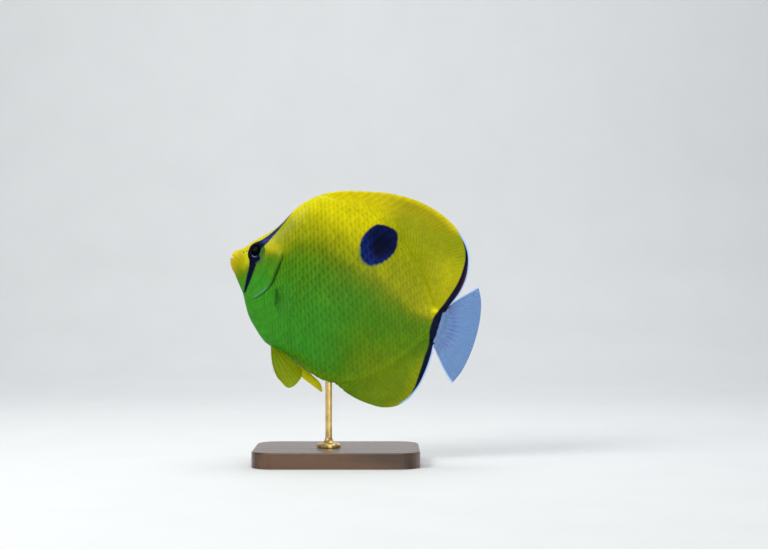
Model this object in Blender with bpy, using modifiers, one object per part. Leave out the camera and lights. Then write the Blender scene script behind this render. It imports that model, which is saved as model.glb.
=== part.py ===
"""A yellow teardrop butterflyfish, life size, held up by a plain display stand.

The fish is modelled in its own frame: +X from the snout to the tail, +Z towards the back, and its
left side at -Y. An empty then tips it head up and lifts it over the stand. Sizes are in
millimetres until a mesh is made.
"""

import math

import bmesh
import bpy
import numpy as np
from mathutils import Matrix, Vector

MM = 0.001
GAP = 0.3

# The pose, and where the snout stands over the middle of the base.
PITCH = math.radians(17)
SNOUT_AT = (-62.4, 0.0, 116.5)

# The body without its fins: the line of the back and the line of the belly, as (along, height).
BACK_LINE = [
    (0.5, 5.9), (2, 7.6), (5, 9.7), (7, 11.6), (9, 14.6), (12, 17.8), (15, 20.8), (18.5, 24.4),
    (22, 29.2), (25, 34.8), (27.5, 39.8), (31, 44.8), (36, 50), (45, 52.3), (57, 53), (69, 51.8),
    (80, 48.6), (90, 43.6), (98, 37.8), (105, 31.3), (111, 24.6), (116, 18), (120, 12.6),
    (124, 9.5), (127, 9),
]
BELLY_LINE = [
    (0.5, 0.2), (1.5, -1.8), (5, -5.7), (9, -10.6), (12.5, -14.8), (15, -18.6), (17, -22),
    (20, -26.5), (25, -31.6), (30, -35.9), (33, -38), (37, -39.6), (45, -42.2), (55, -45.2),
    (65, -48.2), (72, -49.6), (80, -49), (90, -44.8), (100, -37.6), (108, -29), (115, -19.5),
    (120, -12.6), (124, -9.5), (127, -9),
]
# Along, half width, height of the widest place, half width of the crest above and below, and how
# quickly the flank falls away above and below: under 1 is full, over 1 is lean.
SECTIONS = [
    (0.5, 1.7, 3.0, 0.5, 0.5, 0.80, 0.80),
    (3, 3.0, 3.2, 0.7, 0.6, 0.80, 0.80),
    (7, 4.3, 4.0, 0.9, 0.7, 0.85, 0.90),
    (13, 6.4, 5.0, 1.1, 0.8, 0.85, 1.00),
    (20, 8.2, 4.0, 1.3, 1.0, 0.95, 1.00),
    (28, 9.8, 1.0, 1.3, 1.4, 1.15, 0.95),
    (38, 10.9, -3.0, 1.5, 2.4, 1.40, 0.85),
    (50, 11.2, -5.0, 1.7, 2.6, 1.50, 0.85),
    (65, 10.6, -5.0, 1.7, 2.6, 1.50, 0.90),
    (80, 9.0, -2.0, 1.7, 1.8, 1.50, 1.20),
    (95, 6.9, 0.0, 1.5, 1.5, 1.40, 1.30),
    (110, 4.7, 0.0, 1.3, 1.3, 1.20, 1.20),
    (120, 3.5, 0.0, 1.1, 1.1, 1.00, 1.00),
    (127, 3.0, 0.0, 1.0, 1.0, 1.00, 1.00),
]
FLANK_STEPS = 18
CREST_ROUNDING = 1.5
CREST_FLAT = 0.35

# Where the body is parted: the rear edge of the gill cover, as (height, along), and the tail base.
GILL_EDGE = [
    (-60, 12), (-20, 15.8), (-15.5, 20.5), (-9.5, 25), (-5, 27), (3, 28), (10, 28.5), (18, 28.4),
    (28, 27.6), (60, 28),
]
GILL_RAISE = 0.9
GILL_REACH = 3.5
GILL_SPAN = (-19, 19)
CHEEK_EDGE = [(-24, 13), (-12, 16.5), (-5, 20), (4, 21.5), (14, 20.5)]
CHEEK_RAISE = 0.35
TAIL_CUT = 119.0
TAIL_END = 127.0

# The head's own pieces.
EYE_AT = (13.8, 9.9)
EYE_RADIUS = 5.0
EYE_DEPTH = 2.9
EYE_SINK = 1.3
ORBIT_RADIUS = 4.95
ORBIT_THICKNESS = 0.5
ORBIT_SIDES = 24
LIP_RADIUS = 0.95
LIP_HALF = 2.9
UPPER_LIP = ((1.3, 5.3), (4.2, 3.7))
LOWER_LIP = ((0.75, 2.0), (4.2, 2.3))
MOUTH_CLEFT = [(3.4, 2.95), (-2.0, 2.35), (-2.0, 5.4)]
NOSTRILS = [(6.6, 8.0), (8.1, 9.0)]
NOSTRIL_RADIUS = 0.45
NOSTRIL_DEPTH = 1.2

# The unpaired fins as key rays: (along at the root, along at the tip, height of the tip).
DORSAL_RAYS = [
    (36.5, 37.5, 51.5), (45, 50.5, 58.3), (57, 65, 62.7), (69, 80, 65.7), (80, 95, 65.8),
    (90, 110, 62.4), (98, 123, 55.4), (105, 131.2, 46.4), (111, 134.6, 34.5), (116, 134, 24),
    (121, 130.6, 14.6), (124.3, 127.8, 10.5),
]
DORSAL_SPINES = 12
DORSAL_SOFT_RAYS = 22
ANAL_RAYS = [
    (79, 80.5, -50.3), (82, 86.5, -51.3), (86, 93.5, -54), (90.5, 101, -55.1), (95, 109.5, -54.8),
    (99.5, 117, -51.8), (104, 122.6, -46), (108.5, 126.6, -36.6), (113, 128.2, -26),
    (117.5, 128.4, -17.2), (121.5, 127.6, -12), (124.3, 126.9, -10.2),
]
ANAL_SPINES = 3
ANAL_SOFT_RAYS = 18
FIN_WAVE = 0.6
FIN_WAVES = 5.0
SPINE_NOTCH = 0.35
# The tail fin's key rays: (height at the root, along at the tip, height of the tip, outward bow).
TAIL_RAYS = [
    (-8.2, 144.3, -30, -2.0), (-6.3, 147.6, -22, -0.8), (-4, 149.3, -13.5, -0.3), (-1.4, 150, -4.8, 0),
    (1.4, 149.8, 4.8, 0), (4, 148.6, 13.8, 0.2), (6.3, 146.3, 21.8, 0.4), (8.2, 142.6, 28.6, 0.6),
]
TAIL_SOFT_RAYS = 17
TAIL_SWING = 2.5
TAIL_ROOT_HALF = 2.6
TAIL_SHEATH = 0.2

# The paired fins. A pelvic ray is (along, across, height) of its tip, from the spine inwards.
PELVIC_ROOT = ((37.4, 2.3), (40.8, 2.9))
PELVIC_LEFT_TIPS = [
    (48, 23.5, -54.4), (54, 27, -57.4), (57.3, 25, -56.3), (59.2, 20, -53.2), (60, 14, -50),
    (58.8, 8.6, -47.2),
]
PELVIC_RIGHT_TIPS = [
    (68, 5.8, -54.9), (73.2, 6.4, -57), (72.5, 6.8, -54.6), (70.5, 7.2, -52.2), (67, 7.4, -50.4),
    (61, 7.4, -48),
]
PECTORAL_ROOT = ((30.6, -7.6), (33.0, -15.8))
PECTORAL_RAYS = 14
PECTORAL_LENGTH = 27.0
PECTORAL_SPLAY = math.radians(66)
PECTORAL_FAN = (math.radians(16), math.radians(-50))
PECTORAL_SHAPE = [(0, 0.80), (1.5, 0.95), (4, 1.0), (7, 0.90), (10, 0.70), (13, 0.42)]
PECTORAL_CUP = 3.0

# Half the thickness of a ray, of the membrane between rays, and of a fin's outer edge.
SPINE_HALF = 0.55
RAY_HALF = 0.42
WEB_HALF = 0.27
EDGE_HALF = 0.2
ROOT_SHARE = 0.9

# The stand.
BASE_SIZE = (96.0, 64.0, 9.0)
BASE_CORNER = 12.0
BASE_EDGE = 1.2
ROD_AT = 75.5
ROD_RADIUS = 2.0
ROD_SIDES = 20
FOOT_PROFILE = [(2.0, 5.2), (2.5, 3.6), (3.8, 2.5), (6.2, 1.9), (7.0, 1.2), (7.0, 0.0)]

COLOURS = {
    "skin": ((0.80, 0.66, 0.02, 1.0), 0.45, 0.0),
    "fin": ((0.78, 0.68, 0.03, 1.0), 0.45, 0.0),
    "clear_fin": ((0.55, 0.68, 0.85, 1.0), 0.3, 0.0),
    "eye": ((0.01, 0.01, 0.03, 1.0), 0.1, 0.0),
    "wood": ((0.16, 0.08, 0.04, 1.0), 0.4, 0.0),
    "brass": ((0.72, 0.52, 0.22, 1.0), 0.3, 1.0),
}


def curve_through(points):
    """A smooth curve through points of rising first value, as a function of that value."""
    table = np.array(points, float)
    x, y = table[:, 0], table[:, 1:]
    slope = np.gradient(y, x, axis=0)

    def at(value):
        t = np.clip(np.asarray(value, float), x[0], x[-1])
        i = np.clip(np.searchsorted(x, t) - 1, 0, len(x) - 2)
        step = x[i + 1] - x[i]
        u = ((t - x[i]) / step)[..., None]
        width = np.asarray(step)[..., None]
        found = (
            (2 * u**3 - 3 * u**2 + 1) * y[i]
            + (u**3 - 2 * u**2 + u) * width * slope[i]
            + (3 * u**2 - 2 * u**3) * y[i + 1]
            + (u**3 - u**2) * width * slope[i + 1]
        )
        return found[..., 0] if y.shape[1] == 1 else found

    return at


back_line = curve_through(BACK_LINE)
belly_line = curve_through(BELLY_LINE)
sections = curve_through(SECTIONS)
gill_edge = curve_through(GILL_EDGE)
cheek_edge = curve_through(CHEEK_EDGE)


def smooth(low, high, value):
    """0 below low, 1 above high, and an even rise between."""
    t = np.clip((value - low) / (high - low), 0, 1)
    return t * t * (3 - 2 * t)


def half_width(along, height):
    """Half the body's thickness at a place on its flank, without the gill cover's relief."""
    width, widest, crest_up, crest_down, lean_up, lean_down = np.moveaxis(sections(along), -1, 0)
    above = height > widest
    edge = np.where(above, back_line(along), belly_line(along))
    share = np.clip((height - widest) / (edge - widest), 0, 1)
    crest = np.where(above, crest_up, crest_down)
    lean = np.where(above, lean_up, lean_down)
    rounding = CREST_ROUNDING * np.abs(edge - widest) / crest
    rounded = crest * (CREST_FLAT + (1 - CREST_FLAT) * np.sqrt(1 - share**rounding))
    return rounded + (width - crest) * (1 - share**2) ** (lean / 2)


def gill_relief(along, height):
    """How far the gill cover and the cheek stand proud of the body."""
    low, high = GILL_SPAN
    fade = smooth(low, low + 5, height) * smooth(-high, -high + 5, -height)
    flap = GILL_RAISE * smooth(-GILL_REACH, -0.4, along - gill_edge(height)) * fade
    past = along - cheek_edge(height)
    cheek = CHEEK_RAISE * smooth(-3, 0, past) * smooth(-1.2, 0, -past)
    return flap + cheek * fade


def material(name):
    colour, roughness, metallic = COLOURS[name]
    made = bpy.data.materials.get(name) or bpy.data.materials.new(name)
    made.use_nodes = True
    shader = made.node_tree.nodes["Principled BSDF"]
    shader.inputs["Base Color"].default_value = colour
    shader.inputs["Roughness"].default_value = roughness
    shader.inputs["Metallic"].default_value = metallic
    return made


def add_object(name, mesh, collection, finish=None, parent=None):
    made = bpy.data.objects.new(name, mesh)
    collection.objects.link(made)
    made.parent = parent
    if finish:
        mesh.materials.append(material(finish))
        mesh.shade_smooth()
        mesh.set_sharp_from_angle(angle=math.radians(50))
    return made


def mesh_of(points, faces, name):
    """A mesh from points in millimetres and faces that index them, with its faces turned outwards."""
    shape = bmesh.new()
    corners = [shape.verts.new(Vector(point) * MM) for point in points]
    for face in faces:
        shape.faces.new([corners[i] for i in face])
    bmesh.ops.recalc_face_normals(shape, faces=shape.faces)
    mesh = bpy.data.meshes.new(name)
    shape.to_mesh(mesh)
    shape.free()
    return mesh


def body_ring(along, relief):
    """One closed section of the body: up its right side, then down its left."""
    low, high = belly_line(along), back_line(along)
    widest = sections(along)[1]
    turn = np.linspace(-math.pi / 2, math.pi / 2, FLANK_STEPS)
    height = widest + np.where(turn > 0, high - widest, widest - low) * np.sin(turn)
    at = np.full_like(height, along)
    half = half_width(at, height)
    if relief:
        half = half + gill_relief(at, height)
    right = list(zip(at, half, height))
    left = [(x, -y, z) for x, y, z in reversed(right)]
    return right + left


def body_loft(name, stations, relief=False):
    """The body between the first and the last station, closed by a curtain at each end."""
    rings = [body_ring(station, relief) for station in stations]
    count = len(rings[0])
    points = [point for ring in rings for point in ring]
    faces = []
    for first in range(0, len(points) - count, count):
        for j in range(count):
            k = (j + 1) % count
            faces.append((first + j, first + k, first + count + k, first + count + j))
    for first in (0, len(points) - count):
        for j in range(count // 2 - 1):
            faces.append((first + j, first + j + 1, first + count - 2 - j, first + count - 1 - j))
    return mesh_of(points, faces, name)


def mesh_of_curve(curve):
    """The closed mesh of a curve's solid, with its caps welded."""
    guide = bpy.data.objects.new(curve.name, curve)
    bpy.context.scene.collection.objects.link(guide)
    graph = bpy.context.evaluated_depsgraph_get()
    mesh = bpy.data.meshes.new_from_object(guide.evaluated_get(graph))
    bpy.data.objects.remove(guide)
    shape = bmesh.new()
    shape.from_mesh(mesh)
    bmesh.ops.remove_doubles(shape, verts=shape.verts, dist=0.01 * MM)
    bmesh.ops.recalc_face_normals(shape, faces=shape.faces)
    shape.to_mesh(mesh)
    shape.free()
    return mesh


def poly_curve(name, points, closed):
    """A curve object's data with one straight-edged spline through points in millimetres."""
    curve = bpy.data.curves.new(name, "CURVE")
    spline = curve.splines.new("POLY")
    spline.points.add(len(points) - 1)
    spline.use_cyclic_u = closed
    for point, place in zip(spline.points, points):
        point.co = (*(Vector(place) * MM), 1.0)
    return curve


def prism(outline, half):
    """A flat outline of (along, height) points, drawn out to both sides of the mid plane."""
    curve = poly_curve("prism", [(x, z, 0.0) for x, z in outline], closed=True)
    curve.dimensions = "2D"
    curve.fill_mode = "BOTH"
    curve.extrude = half * MM
    mesh = mesh_of_curve(curve)
    mesh.transform(Matrix.Rotation(math.pi / 2, 4, "X"))
    return mesh


def ball(centre, radii, segments=24, rings=14):
    """An ellipsoid: radii are along, across and up."""
    shape = bmesh.new()
    bmesh.ops.create_uvsphere(shape, u_segments=segments, v_segments=rings, radius=1.0)
    bmesh.ops.scale(shape, vec=Vector(radii) * MM, verts=shape.verts)
    bmesh.ops.translate(shape, vec=Vector(centre) * MM, verts=shape.verts)
    mesh = bpy.data.meshes.new("ball")
    shape.to_mesh(mesh)
    shape.free()
    return mesh


def peg(centre, radius, length):
    """A short round peg that points across the fish."""
    shape = bmesh.new()
    bmesh.ops.create_cone(
        shape, cap_ends=True, segments=10, radius1=radius * MM, radius2=radius * MM, depth=length * MM
    )
    turn = Matrix.Rotation(math.pi / 2, 4, "X")
    bmesh.ops.transform(shape, matrix=turn, verts=shape.verts)
    bmesh.ops.translate(shape, vec=Vector(centre) * MM, verts=shape.verts)
    mesh = bpy.data.meshes.new("peg")
    shape.to_mesh(mesh)
    shape.free()
    return mesh


def tube(path, radii, closed=False):
    """A tube along points in millimetres, a ring if closed, with a radius at each point."""
    curve = poly_curve("tube", path, closed)
    curve.dimensions = "3D"
    curve.bevel_depth = MM
    curve.bevel_resolution = 2
    curve.use_fill_caps = not closed
    for point, radius in zip(curve.splines[0].points, radii):
        point.radius = radius
    return mesh_of_curve(curve)


def keep_largest(mesh):
    """Drops every closed surface of the mesh but the one with the most faces."""
    shape = bmesh.new()
    shape.from_mesh(mesh)
    left = set(shape.verts)
    islands = []
    while left:
        front = [left.pop()]
        island = set(front)
        while front:
            for edge in front.pop().link_edges:
                for corner in edge.verts:
                    if corner in left:
                        left.discard(corner)
                        island.add(corner)
                        front.append(corner)
        islands.append(island)
    islands.sort(key=len)
    for island in islands[:-1]:
        bmesh.ops.delete(shape, geom=list(island), context="VERTS")
    shape.to_mesh(mesh)
    shape.free()


def combine(target, meshes, operation):
    """One Boolean on target with several closed meshes, applied, whose helpers are then removed."""
    helpers = bpy.data.collections.new("helpers")
    bpy.context.scene.collection.children.link(helpers)
    for mesh in meshes:
        helper = add_object("helper", mesh, helpers, parent=target.parent)
        helper.hide_render = True
        helper.display_type = "WIRE"
    modifier = target.modifiers.new(operation, "BOOLEAN")
    modifier.operation = operation
    modifier.operand_type = "COLLECTION"
    modifier.collection = helpers
    modifier.solver = "EXACT"
    bpy.context.view_layer.update()
    graph = bpy.context.evaluated_depsgraph_get()
    mesh = bpy.data.meshes.new_from_object(target.evaluated_get(graph))
    target.modifiers.clear()
    target.data = mesh
    for helper in list(helpers.objects):
        bpy.data.objects.remove(helper)
    bpy.data.collections.remove(helpers)
    keep_largest(mesh)


def gill_region(shift, front):
    """The space ahead of the gill edge, or behind it, as a closed cutter."""
    heights = np.linspace(-60, 60, 61)
    edge = [(float(gill_edge(z)) + shift, float(z)) for z in heights]
    far = -20.0 if front else 160.0
    outline = edge + [(far, 60.0), (far, -60.0)]
    return prism(outline, 30.0)


def lip_path(front, corner):
    """Points round the mouth from corner to corner, and the tube's radius at each."""
    turns = np.linspace(-1, 1, 11)
    reach = np.sin(turns * math.pi / 2)
    back = 1 - np.cos(turns * math.pi / 2)
    path = [
        (front[0] + (corner[0] - front[0]) * b, LIP_HALF * r, front[1] + (corner[1] - front[1]) * b)
        for b, r in zip(back, reach)
    ]
    radii = LIP_RADIUS * (1 - 0.45 * back)
    return path, radii


def eye_centre(side):
    return (EYE_AT[0], side * (float(half_width(*EYE_AT)) - EYE_SINK), EYE_AT[1])


def orbit(side):
    """The raised rim round an eye, laid on the slope of the cheek."""
    turn = np.linspace(0, 2 * math.pi, ORBIT_SIDES, endpoint=False)
    x = EYE_AT[0] + ORBIT_RADIUS * np.cos(turn)
    z = EYE_AT[1] + ORBIT_RADIUS * np.sin(turn)
    path = list(zip(x, side * half_width(x, z), z))
    return tube(path, [ORBIT_THICKNESS] * ORBIT_SIDES, closed=True)


def build_head(collection, fish):
    stations = np.concatenate([np.linspace(0.5, 4, 6), np.linspace(4.8, 29.2, 34)])
    head = add_object("head", body_loft("head", stations, relief=True), collection, parent=fish)
    lips = [tube(*lip_path(*lip)) for lip in (UPPER_LIP, LOWER_LIP)]
    combine(head, lips + [orbit(side) for side in (-1, 1)], "UNION")
    cuts = [prism(MOUTH_CLEFT, 8.0), gill_region(-GAP / 2, front=False)]
    eye_room = [radius + GAP for radius in (EYE_RADIUS, EYE_DEPTH, EYE_RADIUS)]
    for side in (-1, 1):
        cuts.append(ball(eye_centre(side), eye_room))
        for x, z in NOSTRILS:
            y = float(half_width(x, z)) * side
            cuts.append(peg((x, y, z), NOSTRIL_RADIUS, 2 * NOSTRIL_DEPTH))
    combine(head, cuts, "DIFFERENCE")
    finish_skin(head)


def finish_skin(piece):
    piece.data.materials.clear()
    piece.data.materials.append(material("skin"))
    piece.data.shade_smooth()
    piece.data.set_sharp_from_angle(angle=math.radians(50))


def build_eyes(collection, fish):
    for side, name in ((-1, "eye_left"), (1, "eye_right")):
        mesh = ball(eye_centre(side), (EYE_RADIUS, EYE_DEPTH, EYE_RADIUS), 20, 12)
        add_object(name, mesh, collection, "eye", fish)


def build_torso(collection, fish):
    stations = np.concatenate([np.linspace(11, 33, 19), np.linspace(35.4, TAIL_CUT, 36)])
    torso = add_object("torso", body_loft("torso", stations), collection, parent=fish)
    combine(torso, [gill_region(GAP / 2, front=True)], "DIFFERENCE")
    finish_skin(torso)


def build_tail_base(collection, fish):
    stations = np.linspace(TAIL_CUT + GAP, TAIL_END, 5)
    add_object("tail_base", body_loft("tail_base", stations), collection, "skin", fish)


def fin_mesh(name, place, columns, rows, thickness):
    """A closed fin: place(ray, out) is its middle surface, and both faces are split alike."""
    step = 1e-3
    count = len(rows)
    near, far = [], []
    for ray in columns:
        for out in rows:
            middle = place(ray, out)
            low, high = max(out - step, 0.0), min(out + step, 1.0)
            side = (place(ray + step, out) - place(ray - step, out)).cross(
                place(ray, high) - place(ray, low)
            )
            offset = side.normalized() * thickness(ray, out)
            near.append(middle - offset)
            far.append(middle + offset)
    size = len(near)
    faces = []
    for i in range(len(columns) - 1):
        for j in range(count - 1):
            a, b = i * count + j, i * count + j + 1
            c, d = a + count, b + count
            faces += [(a, b, c), (b, d, c), (size + a, size + c, size + b), (size + b, size + c, size + d)]
    rim = list(range(count))
    rim += [i * count + count - 1 for i in range(1, len(columns))]
    rim += [(len(columns) - 1) * count + j for j in range(count - 2, -1, -1)]
    rim += [i * count for i in range(len(columns) - 2, 0, -1)]
    for a, b in zip(rim, rim[1:] + rim[:1]):
        faces += [(a, size + a, size + b), (a, size + b, b)]
    return mesh_of(near + far, faces, name)


def ridged(ray, out, ray_half, root_half, sheath=0.3):
    """Half a fin's thickness: a crest on each whole ray, a web between, and a scaly root."""
    crest = 1.0 if abs(ray - round(ray)) < 0.26 else 0.0
    thin = (WEB_HALF + (ray_half - WEB_HALF) * crest) * (1 - out) + EDGE_HALF * out
    return thin + max(root_half - thin, 0.0) * (1 - float(smooth(0, sheath, out))) ** 1.5


def half_steps(first, last):
    """Every half ray between two rays, so that crests and webs take turns."""
    inner = np.arange(math.floor(first * 2) + 1, math.ceil(last * 2)) / 2
    return [first, *inner.tolist(), last]


def unpaired_fin(key_rays, line, outward, spines, rays):
    """The middle surface of a fin that grows from the back or the belly, as a function."""
    share = np.linspace(0, rays - 1, len(key_rays))
    keys = curve_through([(t, *row) for t, row in zip(share, key_rays)])

    def place(ray, out):
        root, tip_x, tip_z = keys(ray)
        base = Vector((root, 0.0, float(line(root)) + outward * GAP))
        tip = Vector((tip_x, 0.0, tip_z))
        notch = SPINE_NOTCH * (1 - float(smooth(spines - 3, spines, ray)))
        reach = 1 - notch * math.sin(math.pi * ray) ** 2 / (tip - base).length
        sway = FIN_WAVE * math.sin(FIN_WAVES * math.pi * ray / rays) * out**2
        return base.lerp(tip, out * reach) + Vector((0.0, sway, 0.0))

    def root_half(ray):
        column = 2 if outward > 0 else 3
        return ROOT_SHARE * float(sections(float(keys(ray)[0]))[column])

    return place, root_half


def build_dorsal_fin(collection, fish):
    rays = DORSAL_SPINES + DORSAL_SOFT_RAYS
    place, root_half = unpaired_fin(DORSAL_RAYS, back_line, 1, DORSAL_SPINES, rays)
    split = DORSAL_SPINES - 0.5
    parts = (
        ("dorsal_fin_spiny", 0.0, split, SPINE_HALF, 7),
        ("dorsal_fin_soft", split + 0.12, rays - 1.0, RAY_HALF, 8),
    )
    for name, first, last, half, steps in parts:
        mesh = fin_mesh(
            name,
            place,
            half_steps(first, last),
            np.linspace(0, 1, steps),
            lambda ray, out, half=half: ridged(ray, out, half, root_half(ray)),
        )
        add_object(name, mesh, collection, "fin", fish)


def build_anal_fin(collection, fish):
    rays = ANAL_SPINES + ANAL_SOFT_RAYS
    place, root_half = unpaired_fin(ANAL_RAYS, belly_line, -1, ANAL_SPINES, rays)

    def thickness(ray, out):
        half = SPINE_HALF if ray < ANAL_SPINES - 0.5 else RAY_HALF
        return ridged(ray, out, half, root_half(ray))

    mesh = fin_mesh("anal_fin", place, half_steps(0.0, rays - 1.0), np.linspace(0, 1, 7), thickness)
    add_object("anal_fin", mesh, collection, "fin", fish)


def build_tail_fin(collection, fish):
    share = np.linspace(0, TAIL_SOFT_RAYS - 1, len(TAIL_RAYS))
    keys = curve_through([(t, *row) for t, row in zip(share, TAIL_RAYS)])
    reach = max(row[1] for row in TAIL_RAYS) - TAIL_END

    def place(ray, out):
        root_z, tip_x, tip_z, bow = keys(ray)
        x = TAIL_END + GAP + (tip_x - TAIL_END - GAP) * out
        z = root_z + (tip_z - root_z) * out + bow * 4 * out * (1 - out)
        return Vector((x, TAIL_SWING * ((x - TAIL_END) / reach) ** 2, z))

    def thickness(ray, out):
        return ridged(ray, out, RAY_HALF, TAIL_ROOT_HALF, TAIL_SHEATH)

    columns = half_steps(0.0, TAIL_SOFT_RAYS - 1.0)
    mesh = fin_mesh("tail_fin", place, columns, np.linspace(0, 1, 7), thickness)
    add_object("tail_fin", mesh, collection, "clear_fin", fish)


def clear_of_body(point, side, margin):
    """The point, moved out sideways where it would lie within margin of the body."""
    if float(belly_line(point.x)) - margin < point.z:
        least = float(half_width(point.x, max(point.z, float(belly_line(point.x))))) + margin
        if point.y * side < least:
            return Vector((point.x, side * least, point.z))
    return point


def build_pelvic_fins(collection, fish):
    (first_x, first_y), (last_x, last_y) = PELVIC_ROOT
    rays = len(PELVIC_LEFT_TIPS)
    for side, name, tips in (
        (-1, "pelvic_fin_left", PELVIC_LEFT_TIPS),
        (1, "pelvic_fin_right", PELVIC_RIGHT_TIPS),
    ):
        keys = curve_through([(t, *tip) for t, tip in enumerate(tips)])

        def place(ray, out, side=side, keys=keys):
            share = ray / (rays - 1)
            x = first_x + (last_x - first_x) * share
            y = first_y + (last_y - first_y) * share
            root = Vector((x, side * y, float(belly_line(x)) - 2 * GAP))
            tip_x, tip_y, tip_z = keys(ray)
            bulge = Vector((-0.9, side * 0.6, -1.6)) * 4 * out * (1 - out) * (1 - share)
            point = root.lerp(Vector((tip_x, side * tip_y, tip_z)), out) + bulge
            return clear_of_body(point, side, 1.0)

        def thickness(ray, out):
            return ridged(ray, out, SPINE_HALF if ray < 0.5 else RAY_HALF, 0.8)

        columns = half_steps(0.0, rays - 1.0)
        mesh = fin_mesh(name, place, columns, np.linspace(0, 1, 8), thickness)
        add_object(name, mesh, collection, "fin", fish)


def build_pectoral_fins(collection, fish):
    upper, lower = (Vector((x, 0.0, z)) for x, z in PECTORAL_ROOT)
    down = (lower - upper).normalized()
    last = PECTORAL_RAYS - 1.0
    pectoral_shape = curve_through(PECTORAL_SHAPE)
    for side, name in ((-1, "pectoral_fin_left"), (1, "pectoral_fin_right")):
        outward = Vector((math.cos(PECTORAL_SPLAY), side * math.sin(PECTORAL_SPLAY), 0.0))

        def place(ray, out, side=side, outward=outward):
            share = ray / last
            root = upper.lerp(lower, share)
            root.y = side * (float(half_width(root.x, root.z)) + 2 * GAP)
            fan = PECTORAL_FAN[0] + (PECTORAL_FAN[1] - PECTORAL_FAN[0]) * share
            length = PECTORAL_LENGTH * float(pectoral_shape(ray))
            heading = outward * math.cos(fan) - down * math.sin(fan)
            cup = Vector((PECTORAL_CUP * out**2, 0.0, 0.0))
            return root + heading * length * out + cup

        def thickness(ray, out):
            return ridged(ray, out, RAY_HALF, 0.7, sheath=0.2)

        mesh = fin_mesh(name, place, half_steps(0.0, last), np.linspace(0, 1, 6), thickness)
        add_object(name, mesh, collection, "clear_fin", fish)


def in_world(along, height):
    """Where a point of the fish's mid plane lies in the world, in millimetres."""
    x = SNOUT_AT[0] + along * math.cos(PITCH) + height * math.sin(PITCH)
    z = SNOUT_AT[2] - along * math.sin(PITCH) + height * math.cos(PITCH)
    return x, z


def build_base(collection):
    length, width, height = BASE_SIZE
    bpy.ops.mesh.primitive_cube_add(size=MM, location=(0, 0, height / 2 * MM))
    base = bpy.context.object
    base.name = "stand_base"
    base.scale = (length, width, height)
    bpy.ops.object.transform_apply(location=False, rotation=False, scale=True)
    for old in base.users_collection:
        old.objects.unlink(base)
    collection.objects.link(base)
    base.data.materials.append(material("wood"))
    shape = bmesh.new()
    shape.from_mesh(base.data)
    uprights = [e for e in shape.edges if abs(e.verts[0].co.z - e.verts[1].co.z) > MM]
    bmesh.ops.bevel(
        shape, geom=uprights, offset=BASE_CORNER * MM, segments=7, profile=0.5, affect="EDGES"
    )
    top = [e for e in shape.edges if all(v.co.z > height / 2 * MM - 1e-6 for v in e.verts)]
    bmesh.ops.bevel(shape, geom=top, offset=BASE_EDGE * MM, segments=3, profile=0.5, affect="EDGES")
    shape.to_mesh(base.data)
    shape.free()



def build_rod(collection):
    """A turned rod on a flange, whose top is shaped to the belly above it."""
    rod_x, _ = in_world(ROD_AT, float(belly_line(ROD_AT)))
    spots = np.linspace(ROD_AT - 8, ROD_AT + 8, 33)
    under_x, under_z = zip(*(in_world(spot, float(belly_line(spot))) for spot in spots))
    foot = BASE_SIZE[2] + GAP
    top = under_z[len(spots) // 2]
    profile = [(0.0, top), (ROD_RADIUS, top)]
    profile += [(radius, foot + level) for radius, level in FOOT_PROFILE] + [(0.0, foot)]
    outline = bpy.data.meshes.new("rod_profile")
    points = [(rod_x * MM + radius * MM, 0.0, level * MM) for radius, level in profile]
    outline.from_pydata(points, [(i, i + 1) for i in range(len(points) - 1)], [])
    axis = bpy.data.objects.new("rod_axis", None)
    axis.location = (rod_x * MM, 0.0, 0.0)
    collection.objects.link(axis)
    guide = add_object("rod_guide", outline, collection)
    turn = guide.modifiers.new("turn", "SCREW")
    turn.object = axis
    turn.steps = ROD_SIDES
    turn.render_steps = ROD_SIDES
    turn.use_merge_vertices = True
    turn.merge_threshold = 1e-6
    graph = bpy.context.evaluated_depsgraph_get()
    mesh = bpy.data.meshes.new_from_object(guide.evaluated_get(graph))
    bpy.data.objects.remove(guide)
    bpy.data.objects.remove(axis)
    for corner in mesh.vertices:
        if corner.co.z > (top - GAP) * MM:
            corner.co.z = (float(np.interp(corner.co.x / MM, under_x, under_z)) - GAP) * MM
    add_object("stand_rod", mesh, collection, "brass")


def main():
    for old in list(bpy.data.objects):
        bpy.data.objects.remove(old)
    collection = bpy.data.collections.new("yellow_teardrop_butterflyfish")
    bpy.context.scene.collection.children.link(collection)
    fish = bpy.data.objects.new("fish_pose", None)
    collection.objects.link(fish)
    fish.location = Vector(SNOUT_AT) * MM
    fish.rotation_euler = (0.0, PITCH, 0.0)
    build_head(collection, fish)
    build_eyes(collection, fish)
    build_torso(collection, fish)
    build_tail_base(collection, fish)
    build_dorsal_fin(collection, fish)
    build_anal_fin(collection, fish)
    build_tail_fin(collection, fish)
    build_pelvic_fins(collection, fish)
    build_pectoral_fins(collection, fish)
    build_base(collection)
    build_rod(collection)


main()
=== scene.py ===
import math
from functools import partial

import bmesh
import bpy
import numpy as np
from mathutils import Matrix, Vector


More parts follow.
